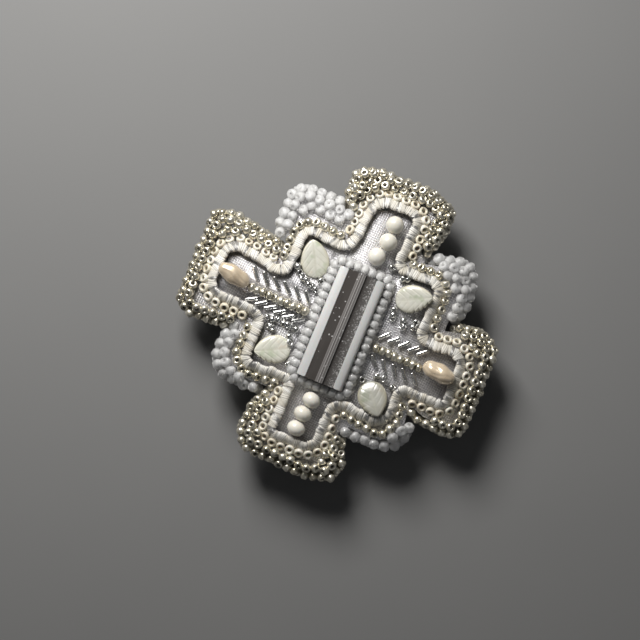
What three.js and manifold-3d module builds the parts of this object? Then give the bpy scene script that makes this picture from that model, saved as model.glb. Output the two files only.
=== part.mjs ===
// A bead-embroidered cross brooch with a locking pin on its back, as separate pieces.
//
// Millimetres, +Z up. The brooch lies face up on its pin: the origin is on that surface, under
// the middle of the brooch, and +Y runs along the glass stone. The beadwork's rows are plain
// bands here, each with the width and height of the beads that fill it.

import * as THREE from 'three';
import { mergeVertices } from 'three/addons/utils/BufferGeometryUtils.js';
import Module from 'manifold-3d';

const wasm = await Module();
wasm.setup();

// ---------------------------------------------------------------- driving dimensions

const GAP = 0.3; // between sewn pieces that touch
const PLY_GAP = 0.1; // between flat layers
const FIT_GAP = 0.05; // around riveted and staked metal
const RUN_GAP = 0.1; // around turning metal
const ARC_STEP = Math.PI / 5; // one facet of a rounded corner
const MIN_FILLET = 0.25;
const CORNER_SHARE = 0.48; // how much of a side one rounded corner may take
const OVERCUT = 1; // how far a cutting shape runs past what it cuts
const MERGE_WITHIN = 1e-4;
const ROUND_SIDES = 20;

// The pin finding. Its axis runs along X, at PIN_AXIS_Z over the surface.
const PIN_AXIS_Z = 1.9;
const PIN_Y = -0.2;
const BAR = { length: 38, width: 5, thickness: 0.8, bottom: 4.9 };
const SEWING_HOLES = { x: [-11, -3.7, 3.7, 10.5], radius: 0.6 };
const HINGE_X = -16.6;
const EAR = { radius: 1.9, inner: 0.95, thickness: 0.6 };
const RIVET = { radius: 0.4, headRadius: 0.85, headHeight: 0.35 };
const EYE = { radius: 1.15, width: 1.5 };
const STEM = { radius: 0.5, tipX: 18.0, pointLength: 4, tipRadius: 0.1, sides: 12 };
const CATCH = { x: 16, length: 3.2, radius: 2, slot: 1.5, shankRadius: 0.8, neck: 1.2 };
const ROTOR = { radius: 1.2, bore: 0.72, slot: 1.3, collarRadius: 1.6, collar: 0.5 };
const TAB = { reach: 2.65, thickness: 0.7, width: 0.9 };

// The plies, from the back of the brooch to its face.
const LEATHER_THICKNESS = 1.0;
const STIFFENER_THICKNESS = 0.8;
const FELT_THICKNESS = 1.5;
const FABRIC_THICKNESS = 0.4;
const LEATHER_Z = BAR.bottom + BAR.thickness + PLY_GAP;
const STIFFENER_Z = LEATHER_Z + LEATHER_THICKNESS + PLY_GAP;
const FELT_Z = STIFFENER_Z + STIFFENER_THICKNESS + PLY_GAP;
const FABRIC_Z = FELT_Z + FELT_THICKNESS + PLY_GAP;
const FACE_Z = FABRIC_Z + FABRIC_THICKNESS + PLY_GAP; // what is sewn on sits here

// Bands of beads. Offsets are from the line of a band's outermost bead centres.
const ARM_BAND = { inner: -2.9, outer: 1.0, bottom: FABRIC_Z - 2.9, top: FACE_Z + 2.1 };
const LOBE_BAND = { inner: -3.3, outer: 1.1, bottom: FABRIC_Z - 2.9, top: FACE_Z + 1.5 };
const PLY_INSET = { leather: -1.2, stiffener: -1.7, felt: -1.6, fabric: -1.2 };
const BAND_CLEARANCE = -0.85; // the bands' walls stand this far out, beside the plies
const CORD = { radius: 1.2, height: 2.3, bevel: 0.6 };
const RING_ROW = { inner: 1.25, outer: 2.95, height: 1.8 }; // offsets from the cord's centre line

// Lines of rounded corners: x, y and the corner's radius, anticlockwise round the brooch.
const CORD_LINE = [
  [8.3, 29.4, 2.6], [-2.6, 29.4, 3.5], [-3.9, 16.0, 3.0],
  [-15.3, 17.3, 2.8], [-15.1, 5.2, 2.2],
  [-30.1, 8.0, 3.6], [-30.4, -4.4, 3.4], [-16.6, -5.2, 2.5],
  [-16.8, -16.9, 2.5], [-4.6, -16.0, 2.2],
  [-5.1, -29.3, 1.9], [6.0, -28.9, 2.8], [5.9, -16.5, 3.0],
  [19.0, -18.6, 4.5], [18.6, -8.8, 1.9],
  [29.7, -8.8, 2.0], [29.6, 4.2, 3.6], [18.5, 3.3, 1.8],
  [18.7, 16.6, 2.6], [7.8, 16.6, 2.0],
];
const ARM_LINES = {
  top: [
    [12.6, 22.4], [14.1, 25.5, 4], [14.8, 33.0, 2], [9.2, 35.2, 3], [-3.6, 35.2, 3],
    [-8.8, 33.6, 1.8], [-8.7, 28.0], [-7.6, 24.2],
  ],
  left: [
    [-17.9, 11.2], [-22, 12.0, 3], [-30.5, 13.8, 4], [-35.4, 12.6, 1.8], [-35.4, -8.8, 1.8],
    [-32.2, -10.9, 1.6], [-21.8, -10.1],
  ],
  bottom: [
    [-8.4, -19.6], [-10.6, -24.5, 2], [-11.3, -30.3, 3], [-9.4, -34.3, 1.8], [5.3, -35.24, 4],
    [11.6, -33.8, 1.6], [13.0, -30.4, 1.4], [11.7, -27.0, 2], [10.9, -23.6],
  ],
  right: [
    [21.4, -12.2], [25.5, -13.8, 3], [32.4, -14.2, 3], [35.4, -12.8, 1.8], [35.4, 8.0, 2.5],
    [31.0, 10.0, 3], [26.5, 9.4, 3], [24.2, 8.2],
  ],
};
const LOBE_LINES = {
  upper_right: [
    [24.4, 9.6], [25.4, 14.0, 3], [25.0, 19.0, 2], [23.2, 22.8, 1.6], [20.0, 23.0, 2],
    [15.5, 21.4, 3], [11.6, 20.6],
  ],
  upper_left: [
    [-5.6, 24.4], [-10.0, 25.2, 3], [-17.5, 25.3, 3], [-20.2, 24.2, 1.8], [-20.4, 14.5, 2],
    [-18.9, 12.0],
  ],
  lower_left: [
    [-21.7, -9.8], [-22.8, -13.0, 3], [-22.4, -18.2, 2], [-20.2, -20.7, 2], [-16.5, -21.3, 2],
    [-9.8, -20.9],
  ],
  lower_right: [
    [11.0, -22.4], [15.0, -22.8, 3], [19.5, -22.4, 3], [23.0, -20.4, 2], [24.2, -17.4, 2],
    [23.7, -14.0],
  ],
};
// The ring rows follow the cord, from one inner corner to the next.
const ARM_RING_LINES = {
  top: [[8.0, 19.2], [8.3, 29.4, 2.6], [-2.6, 29.4, 3.5], [-3.6, 19.0]],
  left: [[-18.5, 5.8], [-30.1, 8.0, 3.6], [-30.4, -4.4, 3.4], [-19.5, -5.1]],
  bottom: [[-4.7, -18.8], [-5.1, -29.3, 1.9], [6.0, -28.9, 2.8], [5.9, -19.6]],
  right: [[21.5, -8.8], [29.7, -8.8, 2.0], [29.6, 4.2, 3.6], [21.4, 3.5]],
};
const LOBE_RING_LINES = {
  upper_right: [[18.6, 6.0], [18.7, 16.6, 2.6], [9.8, 16.6]],
  upper_left: [[-6.4, 16.3], [-15.3, 17.3, 2.8], [-15.1, 8.4]],
  lower_left: [[-16.7, -7.9], [-16.8, -16.9, 2.5], [-7.4, -16.2]],
  lower_right: [[8.6, -16.9], [19.0, -18.6, 4.5], [18.7, -11.4]],
};

// The stone and what is sewn round it.
const STONE = { left: -4.4, right: 6.6, bottom: -14.3, top: 12.0 };
const STONE_RISE = { outerEdge: 3.6, roundedEdge: 4.0, seam: 4.3, ridge: 5.3 };
const STONE_BAR = { width: 2.1, corner: 0.5, seam: 0.05 };
const RIDGE = { left: 0.4, right: 1.9 };
const BEZEL_ROW = { width: 2.0, height: 1.9, lean: 0.25, bevel: 0.35 };

const LEAVES = {
  upper_left: { x: -10.3, y: 11.2, length: 8.6, width: 6.4, heading: 112, tilt: 3 },
  upper_right: { x: 13.9, y: 11.3, length: 8.7, width: 6.4, heading: 27, tilt: 16 },
  lower_left: { x: -11.5, y: -11.5, length: 8.3, width: 6.5, heading: 207, tilt: 4 },
  lower_right: { x: 13.9, y: -13.2, length: 8.4, width: 6.4, heading: -59, tilt: 16 },
};
const LEAF = { thickness: 1.5, bevel: 0.5, curveSteps: 5 };
const PEARLS = {
  left: { x: -25.8, y: 0.85, length: 7.9, width: 4.3, heading: 168, tilt: 7, lift: 0.75 },
  right: { x: 25.3, y: -2.0, length: 7.8, width: 4.4, heading: -5, tilt: 7, lift: 0.75 },
};
const ROUND_BEADS = {
  top: { radius: 2.05, length: 4.1, places: [[3.5, 25.1], [3.6, 20.95], [2.45, 16.95]] },
  bottom: { radius: 2.1, length: 3.55, places: [[1.1, -18.7], [0.45, -22.3], [0.3, -25.9]] },
};
const STEM_ROWS = {
  left: { from: [-21.9, -0.25], to: [-7.1, -0.7], beads: 10 },
  right: { from: [9.4, -2.2], to: [21.5, -2.6], beads: 8 },
};
const STEM_BEAD = { radius: 0.95, neck: 0.5, lift: 1.0, sides: 8, shoulder: 0.25 };
const BUGLE = { radius: 0.5, length: 2.9, sides: 6, thread: 0.4 };
const BUGLE_ROWS = {
  left_upper: { from: [-21.6, 3.2], to: [-8.6, 2.5], beads: 6, heading: -50 },
  left_lower: { from: [-20.1, -2.65], to: [-8.6, -3.2], beads: 6, heading: 33 },
  right_upper: { from: [10.8, 1.0], to: [20.4, 0.8], beads: 5, heading: 43 },
  right_lower: { from: [10.8, -5.2], to: [20.8, -5.4], beads: 5, heading: -55 },
};

// ---------------------------------------------------------------- materials

function finish(color, roughness, metalness = 0) {
  return new THREE.MeshStandardMaterial({ color, roughness, metalness });
}

const LEATHER = finish(0x8d8b88, 0.85);
const BOARD = finish(0xd8d3c8, 0.7);
const FELT = finish(0xdedcd8, 0.95);
const METALLIC_CLOTH = finish(0xb3b1b6, 0.45, 0.5);
const WOUND_THREAD = finish(0xd9d3c6, 0.6);
const IVORY_GLASS = finish(0xece6d6, 0.25);
const CHAMPAGNE_METAL = finish(0xb9b19c, 0.25, 0.9);
const FROSTED_GLASS = finish(0xdfe3e4, 0.55);
const CLEAR_GLASS = finish(0x8c8885, 0.08);
const WHITE_GLASS = finish(0xf2f2f0, 0.35);
const SHELL = finish(0xe6e4d2, 0.3);
const PEARL = finish(0xead9c5, 0.2);
const SILVER_LINED = finish(0xc9cbcb, 0.15, 0.6);
const NICKEL = finish(0xb5b6b8, 0.3, 1.0);

// ---------------------------------------------------------------- outlines

const toVector = ([x, y]) => new THREE.Vector2(x, y);
const radians = THREE.MathUtils.degToRad;

/** The unit vector to the right of the way from one corner to the next. */
function rightOf(from, to) {
  const way = toVector(to).sub(toVector(from)).normalize();
  return new THREE.Vector2(way.y, -way.x);
}

/** Moves a line of corners sideways: a positive distance is outwards, away from the middle. */
function offsetCorners(corners, distance, closed) {
  const count = corners.length;
  return corners.map((corner, i) => {
    const before = closed || i > 0 ? corners[(i + count - 1) % count] : null;
    const after = closed || i < count - 1 ? corners[(i + 1) % count] : null;
    const sideBefore = before ? rightOf(before, corner) : rightOf(corner, after);
    const sideAfter = after ? rightOf(corner, after) : sideBefore;
    const middle = sideBefore.clone().add(sideAfter).normalize();
    const reach = distance / middle.dot(sideBefore);
    const turn = Math.sign(sideBefore.cross(sideAfter));
    const radius = corner[2] ? Math.max(corner[2] + turn * distance, MIN_FILLET) : 0;
    return [corner[0] + middle.x * reach, corner[1] + middle.y * reach, radius];
  });
}

/** The points of a line of corners, with an arc for each corner that has a radius. */
function roundedPoints(corners) {
  const count = corners.length;
  return corners.flatMap((corner, i) => {
    const here = toVector(corner);
    if (!corner[2]) {
      return [here];
    }
    const toBefore = toVector(corners[(i + count - 1) % count]).sub(here);
    const toAfter = toVector(corners[(i + 1) % count]).sub(here);
    const room = CORNER_SHARE * Math.min(toBefore.length(), toAfter.length());
    toBefore.normalize();
    toAfter.normalize();
    const halfAngle = Math.acos(toBefore.dot(toAfter)) / 2;
    const radius = Math.min(corner[2], room * Math.tan(halfAngle));
    const inward = toBefore.clone().add(toAfter).normalize();
    const centre = here.clone().addScaledVector(inward, radius / Math.sin(halfAngle));
    const first = here.clone().addScaledVector(toBefore, radius / Math.tan(halfAngle));
    const start = first.sub(centre).angle();
    const sweep = -Math.sign(toBefore.cross(toAfter)) * (Math.PI - 2 * halfAngle);
    const steps = Math.max(1, Math.ceil(Math.abs(sweep) / ARC_STEP));
    return Array.from({ length: steps + 1 }, (_, k) => {
      const angle = start + (sweep * k) / steps;
      return new THREE.Vector2(Math.cos(angle), Math.sin(angle)).multiplyScalar(radius).add(centre);
    });
  });
}

function closedOutline(corners, distance) {
  return roundedPoints(offsetCorners(corners, distance, true));
}

/** A closed band beside a closed line, between two offsets from it. */
function ringShape(corners, inner, outer) {
  const shape = new THREE.Shape(closedOutline(corners, outer));
  shape.holes.push(new THREE.Path(closedOutline(corners, inner)));
  return shape;
}

/** A band with two ends beside an open line, between two offsets from it. */
function stripShape(corners, inner, outer) {
  const near = roundedPoints(offsetCorners(corners, inner, false));
  const far = roundedPoints(offsetCorners(corners, outer, false));
  return new THREE.Shape([...near, ...far.reverse()]);
}

/** The same line with its two ends drawn out a little further. */
function lengthened(corners, distance) {
  const drawnOut = (end, next) => {
    const way = toVector(end).sub(toVector(next)).setLength(distance);
    return [end[0] + way.x, end[1] + way.y];
  };
  const last = corners.length - 1;
  return [
    drawnOut(corners[0], corners[1]),
    ...corners.slice(1, last),
    drawnOut(corners[last], corners[last - 1]),
  ];
}

// ---------------------------------------------------------------- solids

/** A flat piece of a shape between two levels, its edges cut back by a bevel. */
function slab(shape, bottom, top, bevel = 0) {
  const geometry = new THREE.ExtrudeGeometry(shape, {
    depth: top - bottom - 2 * bevel,
    bevelEnabled: bevel > 0,
    bevelThickness: bevel,
    bevelSize: bevel,
    bevelOffset: -bevel,
    bevelSegments: 1,
  });
  return geometry.translate(0, 0, bottom + bevel);
}

function toSolid(geometry) {
  const bare = geometry.clone();
  bare.deleteAttribute('normal');
  bare.deleteAttribute('uv');
  const merged = mergeVertices(bare, MERGE_WITHIN);
  return new wasm.Manifold(new wasm.Mesh({
    numProp: 3,
    vertProperties: new Float32Array(merged.attributes.position.array),
    triVerts: new Uint32Array(merged.index.array),
  }));
}

function toGeometry(solid) {
  const { vertProperties, triVerts } = solid.getMesh();
  const geometry = new THREE.BufferGeometry();
  geometry.setAttribute('position', new THREE.BufferAttribute(vertProperties, 3));
  geometry.setIndex(new THREE.BufferAttribute(triVerts, 1));
  geometry.computeVertexNormals();
  return geometry;
}

/** One geometry less some others. A sliver that a cut leaves loose is dropped. */
function cut(geometry, ...tools) {
  const solid = tools.reduce((left, tool) => left.subtract(toSolid(tool)), toSolid(geometry));
  const [largest] = solid.decompose().sort((a, b) => b.volume() - a.volume());
  return toGeometry(largest);
}

function join(geometry, ...others) {
  return toGeometry(others.reduce((sum, other) => sum.add(toSolid(other)), toSolid(geometry)));
}

/** A round piece along X with a profile of [x, radius] pairs, closed on its axis. */
function turned(profile, sides = ROUND_SIDES) {
  const points = profile.map(([x, radius]) => new THREE.Vector2(radius, x));
  return new THREE.LatheGeometry(points, sides).rotateZ(-Math.PI / 2);
}

function rod(radius, from, to, sides = ROUND_SIDES) {
  return turned([[from, 0], [from, radius], [to, radius], [to, 0]], sides);
}

function block(width, depth, height, x, y, z) {
  return new THREE.BoxGeometry(width, depth, height).translate(x, y, z);
}

// ---------------------------------------------------------------- assembly

const brooch = new THREE.Group();

function addPiece(parent, name, geometry, material) {
  const mesh = new THREE.Mesh(geometry, material);
  mesh.name = name;
  parent.add(mesh);
  return mesh;
}

/** The outline that all plies share: the four arms over the four lobes. */
function plyGeometry(inset, bottom, top) {
  const outlines = [ARM_LINES, LOBE_LINES].map((lines) => {
    const corners = Object.values(lines).flat();
    return slab(new THREE.Shape(closedOutline(corners, inset)), bottom, top);
  });
  return join(...outlines);
}

function addPlies() {
  const plies = [
    ['leather_backing', PLY_INSET.leather, LEATHER_Z, LEATHER_THICKNESS, LEATHER],
    ['stiffener_plate', PLY_INSET.stiffener, STIFFENER_Z, STIFFENER_THICKNESS, BOARD],
    ['felt_padding', PLY_INSET.felt, FELT_Z, FELT_THICKNESS, FELT],
    ['ground_fabric', PLY_INSET.fabric, FABRIC_Z, FABRIC_THICKNESS, METALLIC_CLOTH],
  ];
  for (const [name, inset, bottom, thickness, material] of plies) {
    addPiece(brooch, name, plyGeometry(inset, bottom, bottom + thickness), material);
  }
}

/** The cord's band, or the space that its neighbours leave for it. */
function cordBand(spread, bottom, top, bevel = 0) {
  const reach = CORD.radius + spread;
  return slab(ringShape(CORD_LINE, -reach, reach), bottom, top, bevel);
}

function addCordAndRings() {
  const cord = cordBand(0, FACE_Z, FACE_Z + CORD.height, CORD.bevel);
  addPiece(brooch, 'wrapped_cord', cord, WOUND_THREAD);
  const insideCord = slab(
    new THREE.Shape(closedOutline(CORD_LINE, CORD.radius + FIT_GAP)),
    FACE_Z - OVERCUT,
    FACE_Z + CORD.height,
  );
  const ringRow = (line, spread = 0) => slab(
    stripShape(lengthened(line, spread), RING_ROW.inner, RING_ROW.outer + spread),
    FACE_Z,
    FACE_Z + RING_ROW.height,
  );
  for (const [side, line] of Object.entries(ARM_RING_LINES)) {
    addPiece(brooch, `cream_ring_${side}`, cut(ringRow(line), insideCord), IVORY_GLASS);
  }
  const armRows = Object.values(ARM_RING_LINES).map((line) => ringRow(line, GAP));
  for (const [corner, line] of Object.entries(LOBE_RING_LINES)) {
    const row = cut(ringRow(line), insideCord, ...armRows);
    addPiece(brooch, `metal_ring_${corner}`, row, CHAMPAGNE_METAL);
  }
}

/** A band of edging beads: it lies on the fabric's rim and turns down over its edge. */
function edgingBand(line, band, spread = 0) {
  return slab(
    stripShape(lengthened(line, spread), band.inner - spread, band.outer + spread),
    band.bottom - spread,
    band.top + spread,
  );
}

function addEdgings() {
  const plies = plyGeometry(BAND_CLEARANCE, 0, FACE_Z);
  const cordAndRings = slab(
    new THREE.Shape(closedOutline(CORD_LINE, RING_ROW.outer + GAP)),
    FACE_Z - OVERCUT,
    ARM_BAND.top + OVERCUT,
  );
  for (const [side, line] of Object.entries(ARM_LINES)) {
    const band = cut(edgingBand(line, ARM_BAND), plies, cordAndRings);
    addPiece(brooch, `arm_edging_${side}`, band, CHAMPAGNE_METAL);
  }
  const arms = Object.values(ARM_LINES).map((line) => edgingBand(line, ARM_BAND, GAP));
  for (const [corner, line] of Object.entries(LOBE_LINES)) {
    const band = cut(edgingBand(line, LOBE_BAND), plies, cordAndRings, ...arms);
    addPiece(brooch, `lobe_edging_${corner}`, band, FROSTED_GLASS);
  }
}

// ---------------------------------------------------------------- the stone

/** A bar along Y with a cross-section of [x, z] points over the fabric. */
function barAlongY(section) {
  const shape = new THREE.Shape(section.map(toVector));
  const length = STONE.top - STONE.bottom;
  return new THREE.ExtrudeGeometry(shape, { depth: length, bevelEnabled: false })
    .rotateX(Math.PI / 2)
    .translate(0, STONE.top, FACE_Z);
}

function addStone() {
  const { left, right } = STONE;
  const { outerEdge, roundedEdge, seam, ridge } = STONE_RISE;
  const innerLeft = left + STONE_BAR.width;
  const innerRight = right - STONE_BAR.width;
  const glassLeft = innerLeft + STONE_BAR.seam;
  const glassRight = innerRight - STONE_BAR.seam;
  addPiece(brooch, 'stone_glass', barAlongY([
    [glassLeft, 0], [glassRight, 0], [glassRight, seam],
    [RIDGE.right, ridge], [RIDGE.left, ridge], [glassLeft, seam],
  ]), CLEAR_GLASS);
  addPiece(brooch, 'stone_bar_left', barAlongY([
    [left, 0], [innerLeft, 0], [innerLeft, seam],
    [left + STONE_BAR.corner, roundedEdge], [left, outerEdge],
  ]), WHITE_GLASS);
  addPiece(brooch, 'stone_bar_right', barAlongY([
    [innerRight, 0], [right, 0], [right, outerEdge],
    [right - STONE_BAR.corner, roundedEdge], [innerRight, seam],
  ]), WHITE_GLASS);
}

function addBezel() {
  const { left, right, bottom, top } = STONE;
  const stoneEdge = [[right, top], [left, top], [left, bottom], [right, bottom]]
    .map((corner) => [...corner, MIN_FILLET]);
  const cordSpace = cordBand(GAP / 2, FACE_Z - OVERCUT, FACE_Z + CORD.height + GAP);
  const rows = { lower: 0, upper: 1 };
  for (const [name, step] of Object.entries(rows)) {
    const inner = GAP - PLY_GAP * step;
    const outer = GAP + BEZEL_ROW.width - BEZEL_ROW.lean * step;
    const level = FACE_Z + step * (BEZEL_ROW.height + PLY_GAP);
    const ring = ringShape(stoneEdge, inner, outer);
    const row = slab(ring, level, level + BEZEL_ROW.height, BEZEL_ROW.bevel);
    addPiece(brooch, `bezel_${name}_row`, cut(row, cordSpace), FROSTED_GLASS);
  }
}

// ---------------------------------------------------------------- what is sewn on singly

/** A leaf with its tip along +X: two mirrored curves from the stalk to the tip. */
function leafShape(length, width) {
  const shape = new THREE.Shape();
  shape.moveTo(-0.5 * length, 0);
  shape.bezierCurveTo(-0.5 * length, -0.42 * width, -0.25 * length, -0.5 * width, 0, -0.5 * width);
  shape.bezierCurveTo(0.26 * length, -0.5 * width, 0.42 * length, -0.28 * width, 0.5 * length, 0);
  shape.bezierCurveTo(0.42 * length, 0.28 * width, 0.26 * length, 0.5 * width, 0, 0.5 * width);
  shape.bezierCurveTo(-0.25 * length, 0.5 * width, -0.5 * length, 0.42 * width, -0.5 * length, 0);
  return shape;
}

/** Turns a piece that lies along +X to its heading, with its far end tilted up. */
function place(mesh, { x, y, heading, tilt }, z) {
  mesh.rotation.set(0, -radians(tilt), radians(heading), 'ZYX');
  mesh.position.set(x, y, z);
}

function addLeaves() {
  for (const [corner, leaf] of Object.entries(LEAVES)) {
    const outline = new THREE.Shape(leafShape(leaf.length, leaf.width).getPoints(LEAF.curveSteps));
    const geometry = slab(outline, -LEAF.thickness / 2, LEAF.thickness / 2, LEAF.bevel);
    const mesh = addPiece(brooch, `shell_leaf_${corner}`, geometry, SHELL);
    const rise = (leaf.length / 2) * Math.sin(radians(leaf.tilt));
    place(mesh, leaf, FACE_Z + PLY_GAP + LEAF.thickness / 2 + rise);
  }
}

function addPearls() {
  for (const [side, pearl] of Object.entries(PEARLS)) {
    const geometry = new THREE.SphereGeometry(0.5, 14, 8).rotateZ(Math.PI / 2);
    geometry.scale(pearl.length, pearl.width, pearl.width);
    const mesh = addPiece(brooch, `rice_pearl_${side}`, geometry, PEARL);
    place(mesh, pearl, FACE_Z + pearl.width / 2 + pearl.lift);
  }
}

function addRoundBeads() {
  for (const [side, { radius, length, places }] of Object.entries(ROUND_BEADS)) {
    places.forEach(([x, y], i) => {
      const geometry = new THREE.SphereGeometry(1, 12, 8);
      geometry.scale(radius, length / 2, radius);
      const mesh = addPiece(brooch, `round_bead_${side}_${i + 1}`, geometry, IVORY_GLASS);
      mesh.position.set(x, y, FACE_Z + radius);
    });
  }
}

/** A string of beads along X, as one turned piece with a neck between beads. */
function stringOfBeads(length, beads) {
  const pitch = length / beads;
  const profile = [[-length / 2, 0]];
  for (let i = 0; i < beads; i += 1) {
    const start = -length / 2 + i * pitch;
    profile.push([start, STEM_BEAD.neck]);
    profile.push([start + STEM_BEAD.shoulder * pitch, STEM_BEAD.radius]);
    profile.push([start + (1 - STEM_BEAD.shoulder) * pitch, STEM_BEAD.radius]);
  }
  profile.push([length / 2, STEM_BEAD.neck], [length / 2, 0]);
  return turned(profile, STEM_BEAD.sides);
}

function addStemRows() {
  for (const [side, { from, to, beads }] of Object.entries(STEM_ROWS)) {
    const run = toVector(to).sub(toVector(from));
    const geometry = stringOfBeads(run.length(), beads);
    const mesh = addPiece(brooch, `stem_row_${side}`, geometry, CHAMPAGNE_METAL);
    mesh.rotation.z = run.angle();
    mesh.position.set((from[0] + to[0]) / 2, (from[1] + to[1]) / 2, FACE_Z + STEM_BEAD.lift);
  }
}

/** A row of slanted bugles on the thread that holds them down, as one piece. */
function bugleRow({ from, to, beads, heading }) {
  const run = toVector(to).sub(toVector(from));
  const thread = block(run.length(), BUGLE.thread, BUGLE.thread, 0, 0, BUGLE.thread / 2)
    .rotateZ(run.angle())
    .translate((from[0] + to[0]) / 2, (from[1] + to[1]) / 2, 0);
  const bugles = Array.from({ length: beads }, (_, i) => {
    const share = i / (beads - 1);
    return rod(BUGLE.radius, -BUGLE.length / 2, BUGLE.length / 2, BUGLE.sides)
      .rotateZ(radians(heading))
      .translate(from[0] + run.x * share, from[1] + run.y * share, BUGLE.radius);
  });
  return join(thread, ...bugles);
}

function addBugleRows() {
  for (const [name, row] of Object.entries(BUGLE_ROWS)) {
    const mesh = addPiece(brooch, `bugle_row_${name}`, bugleRow(row), SILVER_LINED);
    mesh.position.z = FACE_Z + PLY_GAP;
  }
}

// ---------------------------------------------------------------- the pin finding

/** A short round rod along Y. */
function rodAlongY(radius, from, to) {
  return rod(radius, from, to).rotateZ(Math.PI / 2);
}

function rodAlongZ(radius, bottom, top) {
  return rod(radius, bottom, top).rotateY(-Math.PI / 2);
}

/** The bar with its two hinge ears, the sewing holes and the hole for the catch's shank. */
function pinBar() {
  const barMiddle = BAR.bottom + BAR.thickness / 2 - PIN_AXIS_Z;
  const plate = block(BAR.length, BAR.width, BAR.thickness, 0, 0, barMiddle);
  const wall = EAR.inner + EAR.thickness;
  const earSides = [[-wall, -EAR.inner], [EAR.inner, wall]];
  const ears = earSides.flatMap(([from, to]) => [
    rodAlongY(EAR.radius, from, to).translate(HINGE_X, 0, 0),
    block(2 * EAR.radius, EAR.thickness, barMiddle, HINGE_X, (from + to) / 2, barMiddle / 2),
  ]);
  const through = BAR.width;
  const holes = [...SEWING_HOLES.x, CATCH.x].map((x) => {
    const radius = x === CATCH.x ? CATCH.shankRadius + FIT_GAP : SEWING_HOLES.radius;
    return rodAlongZ(radius, 0, 2 * barMiddle).translate(x, 0, 0);
  });
  const rivetHole = rodAlongY(RIVET.radius + FIT_GAP, -through, through).translate(HINGE_X, 0, 0);
  return cut(join(plate, ...ears), rivetHole, ...holes);
}

function hingeRivet() {
  const wall = EAR.inner + EAR.thickness + FIT_GAP;
  const end = wall + RIVET.headHeight;
  return turned([
    [-end, 0], [-end, RIVET.headRadius], [-wall, RIVET.headRadius], [-wall, RIVET.radius],
    [wall, RIVET.radius], [wall, RIVET.headRadius], [end, RIVET.headRadius], [end, 0],
  ]).rotateZ(Math.PI / 2);
}

/** The stem: an eye round the rivet and a wire that is ground to a point. */
function pinStem() {
  const eye = rodAlongY(EYE.radius, -EYE.width / 2, EYE.width / 2);
  const tip = STEM.tipX - HINGE_X;
  const wire = turned([
    [0, 0], [0, STEM.radius], [tip - STEM.pointLength, STEM.radius], [tip, STEM.tipRadius],
    [tip, 0],
  ], STEM.sides);
  const hole = rodAlongY(RIVET.radius + RUN_GAP, -EYE.width, EYE.width);
  return cut(join(eye, wire), hole);
}

/** A barrel that is open at the bottom, on a neck and a shank that the bar holds. */
function catchHousing() {
  const half = CATCH.length / 2;
  const barrel = rod(CATCH.radius, -half, half);
  const neckTop = BAR.bottom - FIT_GAP - PIN_AXIS_Z;
  const shankTop = BAR.bottom + BAR.thickness - PIN_AXIS_Z;
  const neck = block(2 * CATCH.neck, 2 * CATCH.neck, neckTop, 0, 0, neckTop / 2);
  const shank = rodAlongZ(CATCH.shankRadius, 0, shankTop);
  const bore = rod(ROTOR.radius + RUN_GAP, -half - 1, half + 1);
  const slot = block(CATCH.length + 2, CATCH.slot, CATCH.radius + 1, 0, 0, -(CATCH.radius + 1) / 2);
  return cut(join(barrel, neck, shank), bore, slot);
}

/** The locking sleeve: a slotted tube with a collar at each end and a thumb tab. */
function catchRotor() {
  const inside = CATCH.length / 2 + RUN_GAP;
  const end = inside + ROTOR.collar;
  const tabEnd = inside + TAB.width;
  const sleeve = turned([
    [-end, 0], [-end, ROTOR.collarRadius], [-inside, ROTOR.collarRadius], [-inside, ROTOR.radius],
    [inside, ROTOR.radius], [inside, ROTOR.collarRadius], [tabEnd, ROTOR.collarRadius], [tabEnd, 0],
  ]);
  const tabMiddle = inside + TAB.width / 2;
  const tab = block(TAB.width, TAB.reach, TAB.thickness, tabMiddle, TAB.reach / 2, 0);
  const bore = rod(ROTOR.bore, -end - 1, tabEnd + 1);
  const length = 2 * tabEnd + 2;
  const slot = block(length, ROTOR.slot, ROTOR.collarRadius + 1, 0, 0, -(ROTOR.collarRadius + 1) / 2);
  return cut(join(sleeve, tab), bore, slot);
}

function addPin() {
  const pin = new THREE.Group();
  pin.position.set(0, PIN_Y, PIN_AXIS_Z);
  addPiece(pin, 'pin_bar', pinBar(), NICKEL);
  addPiece(pin, 'hinge_rivet', hingeRivet(), NICKEL).position.x = HINGE_X;
  addPiece(pin, 'pin_stem', pinStem(), NICKEL).position.x = HINGE_X;
  addPiece(pin, 'catch_housing', catchHousing(), NICKEL).position.x = CATCH.x;
  addPiece(pin, 'catch_rotor', catchRotor(), NICKEL).position.x = CATCH.x;
  brooch.add(pin);
}

addPin();
addPlies();
addCordAndRings();
addEdgings();
addStone();
addBezel();
addLeaves();
addPearls();
addRoundBeads();
addStemRows();
addBugleRows();

export default brooch;
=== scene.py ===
"""Finished surfaces for a bead-embroidered cross brooch with a locking pin.

Shapes are worked out in millimetres as arrays and become metres where a mesh is made. The
brooch lies face up on its pin, +Z is out of its face and +Y runs along the glass stone.
"""

import math

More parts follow.
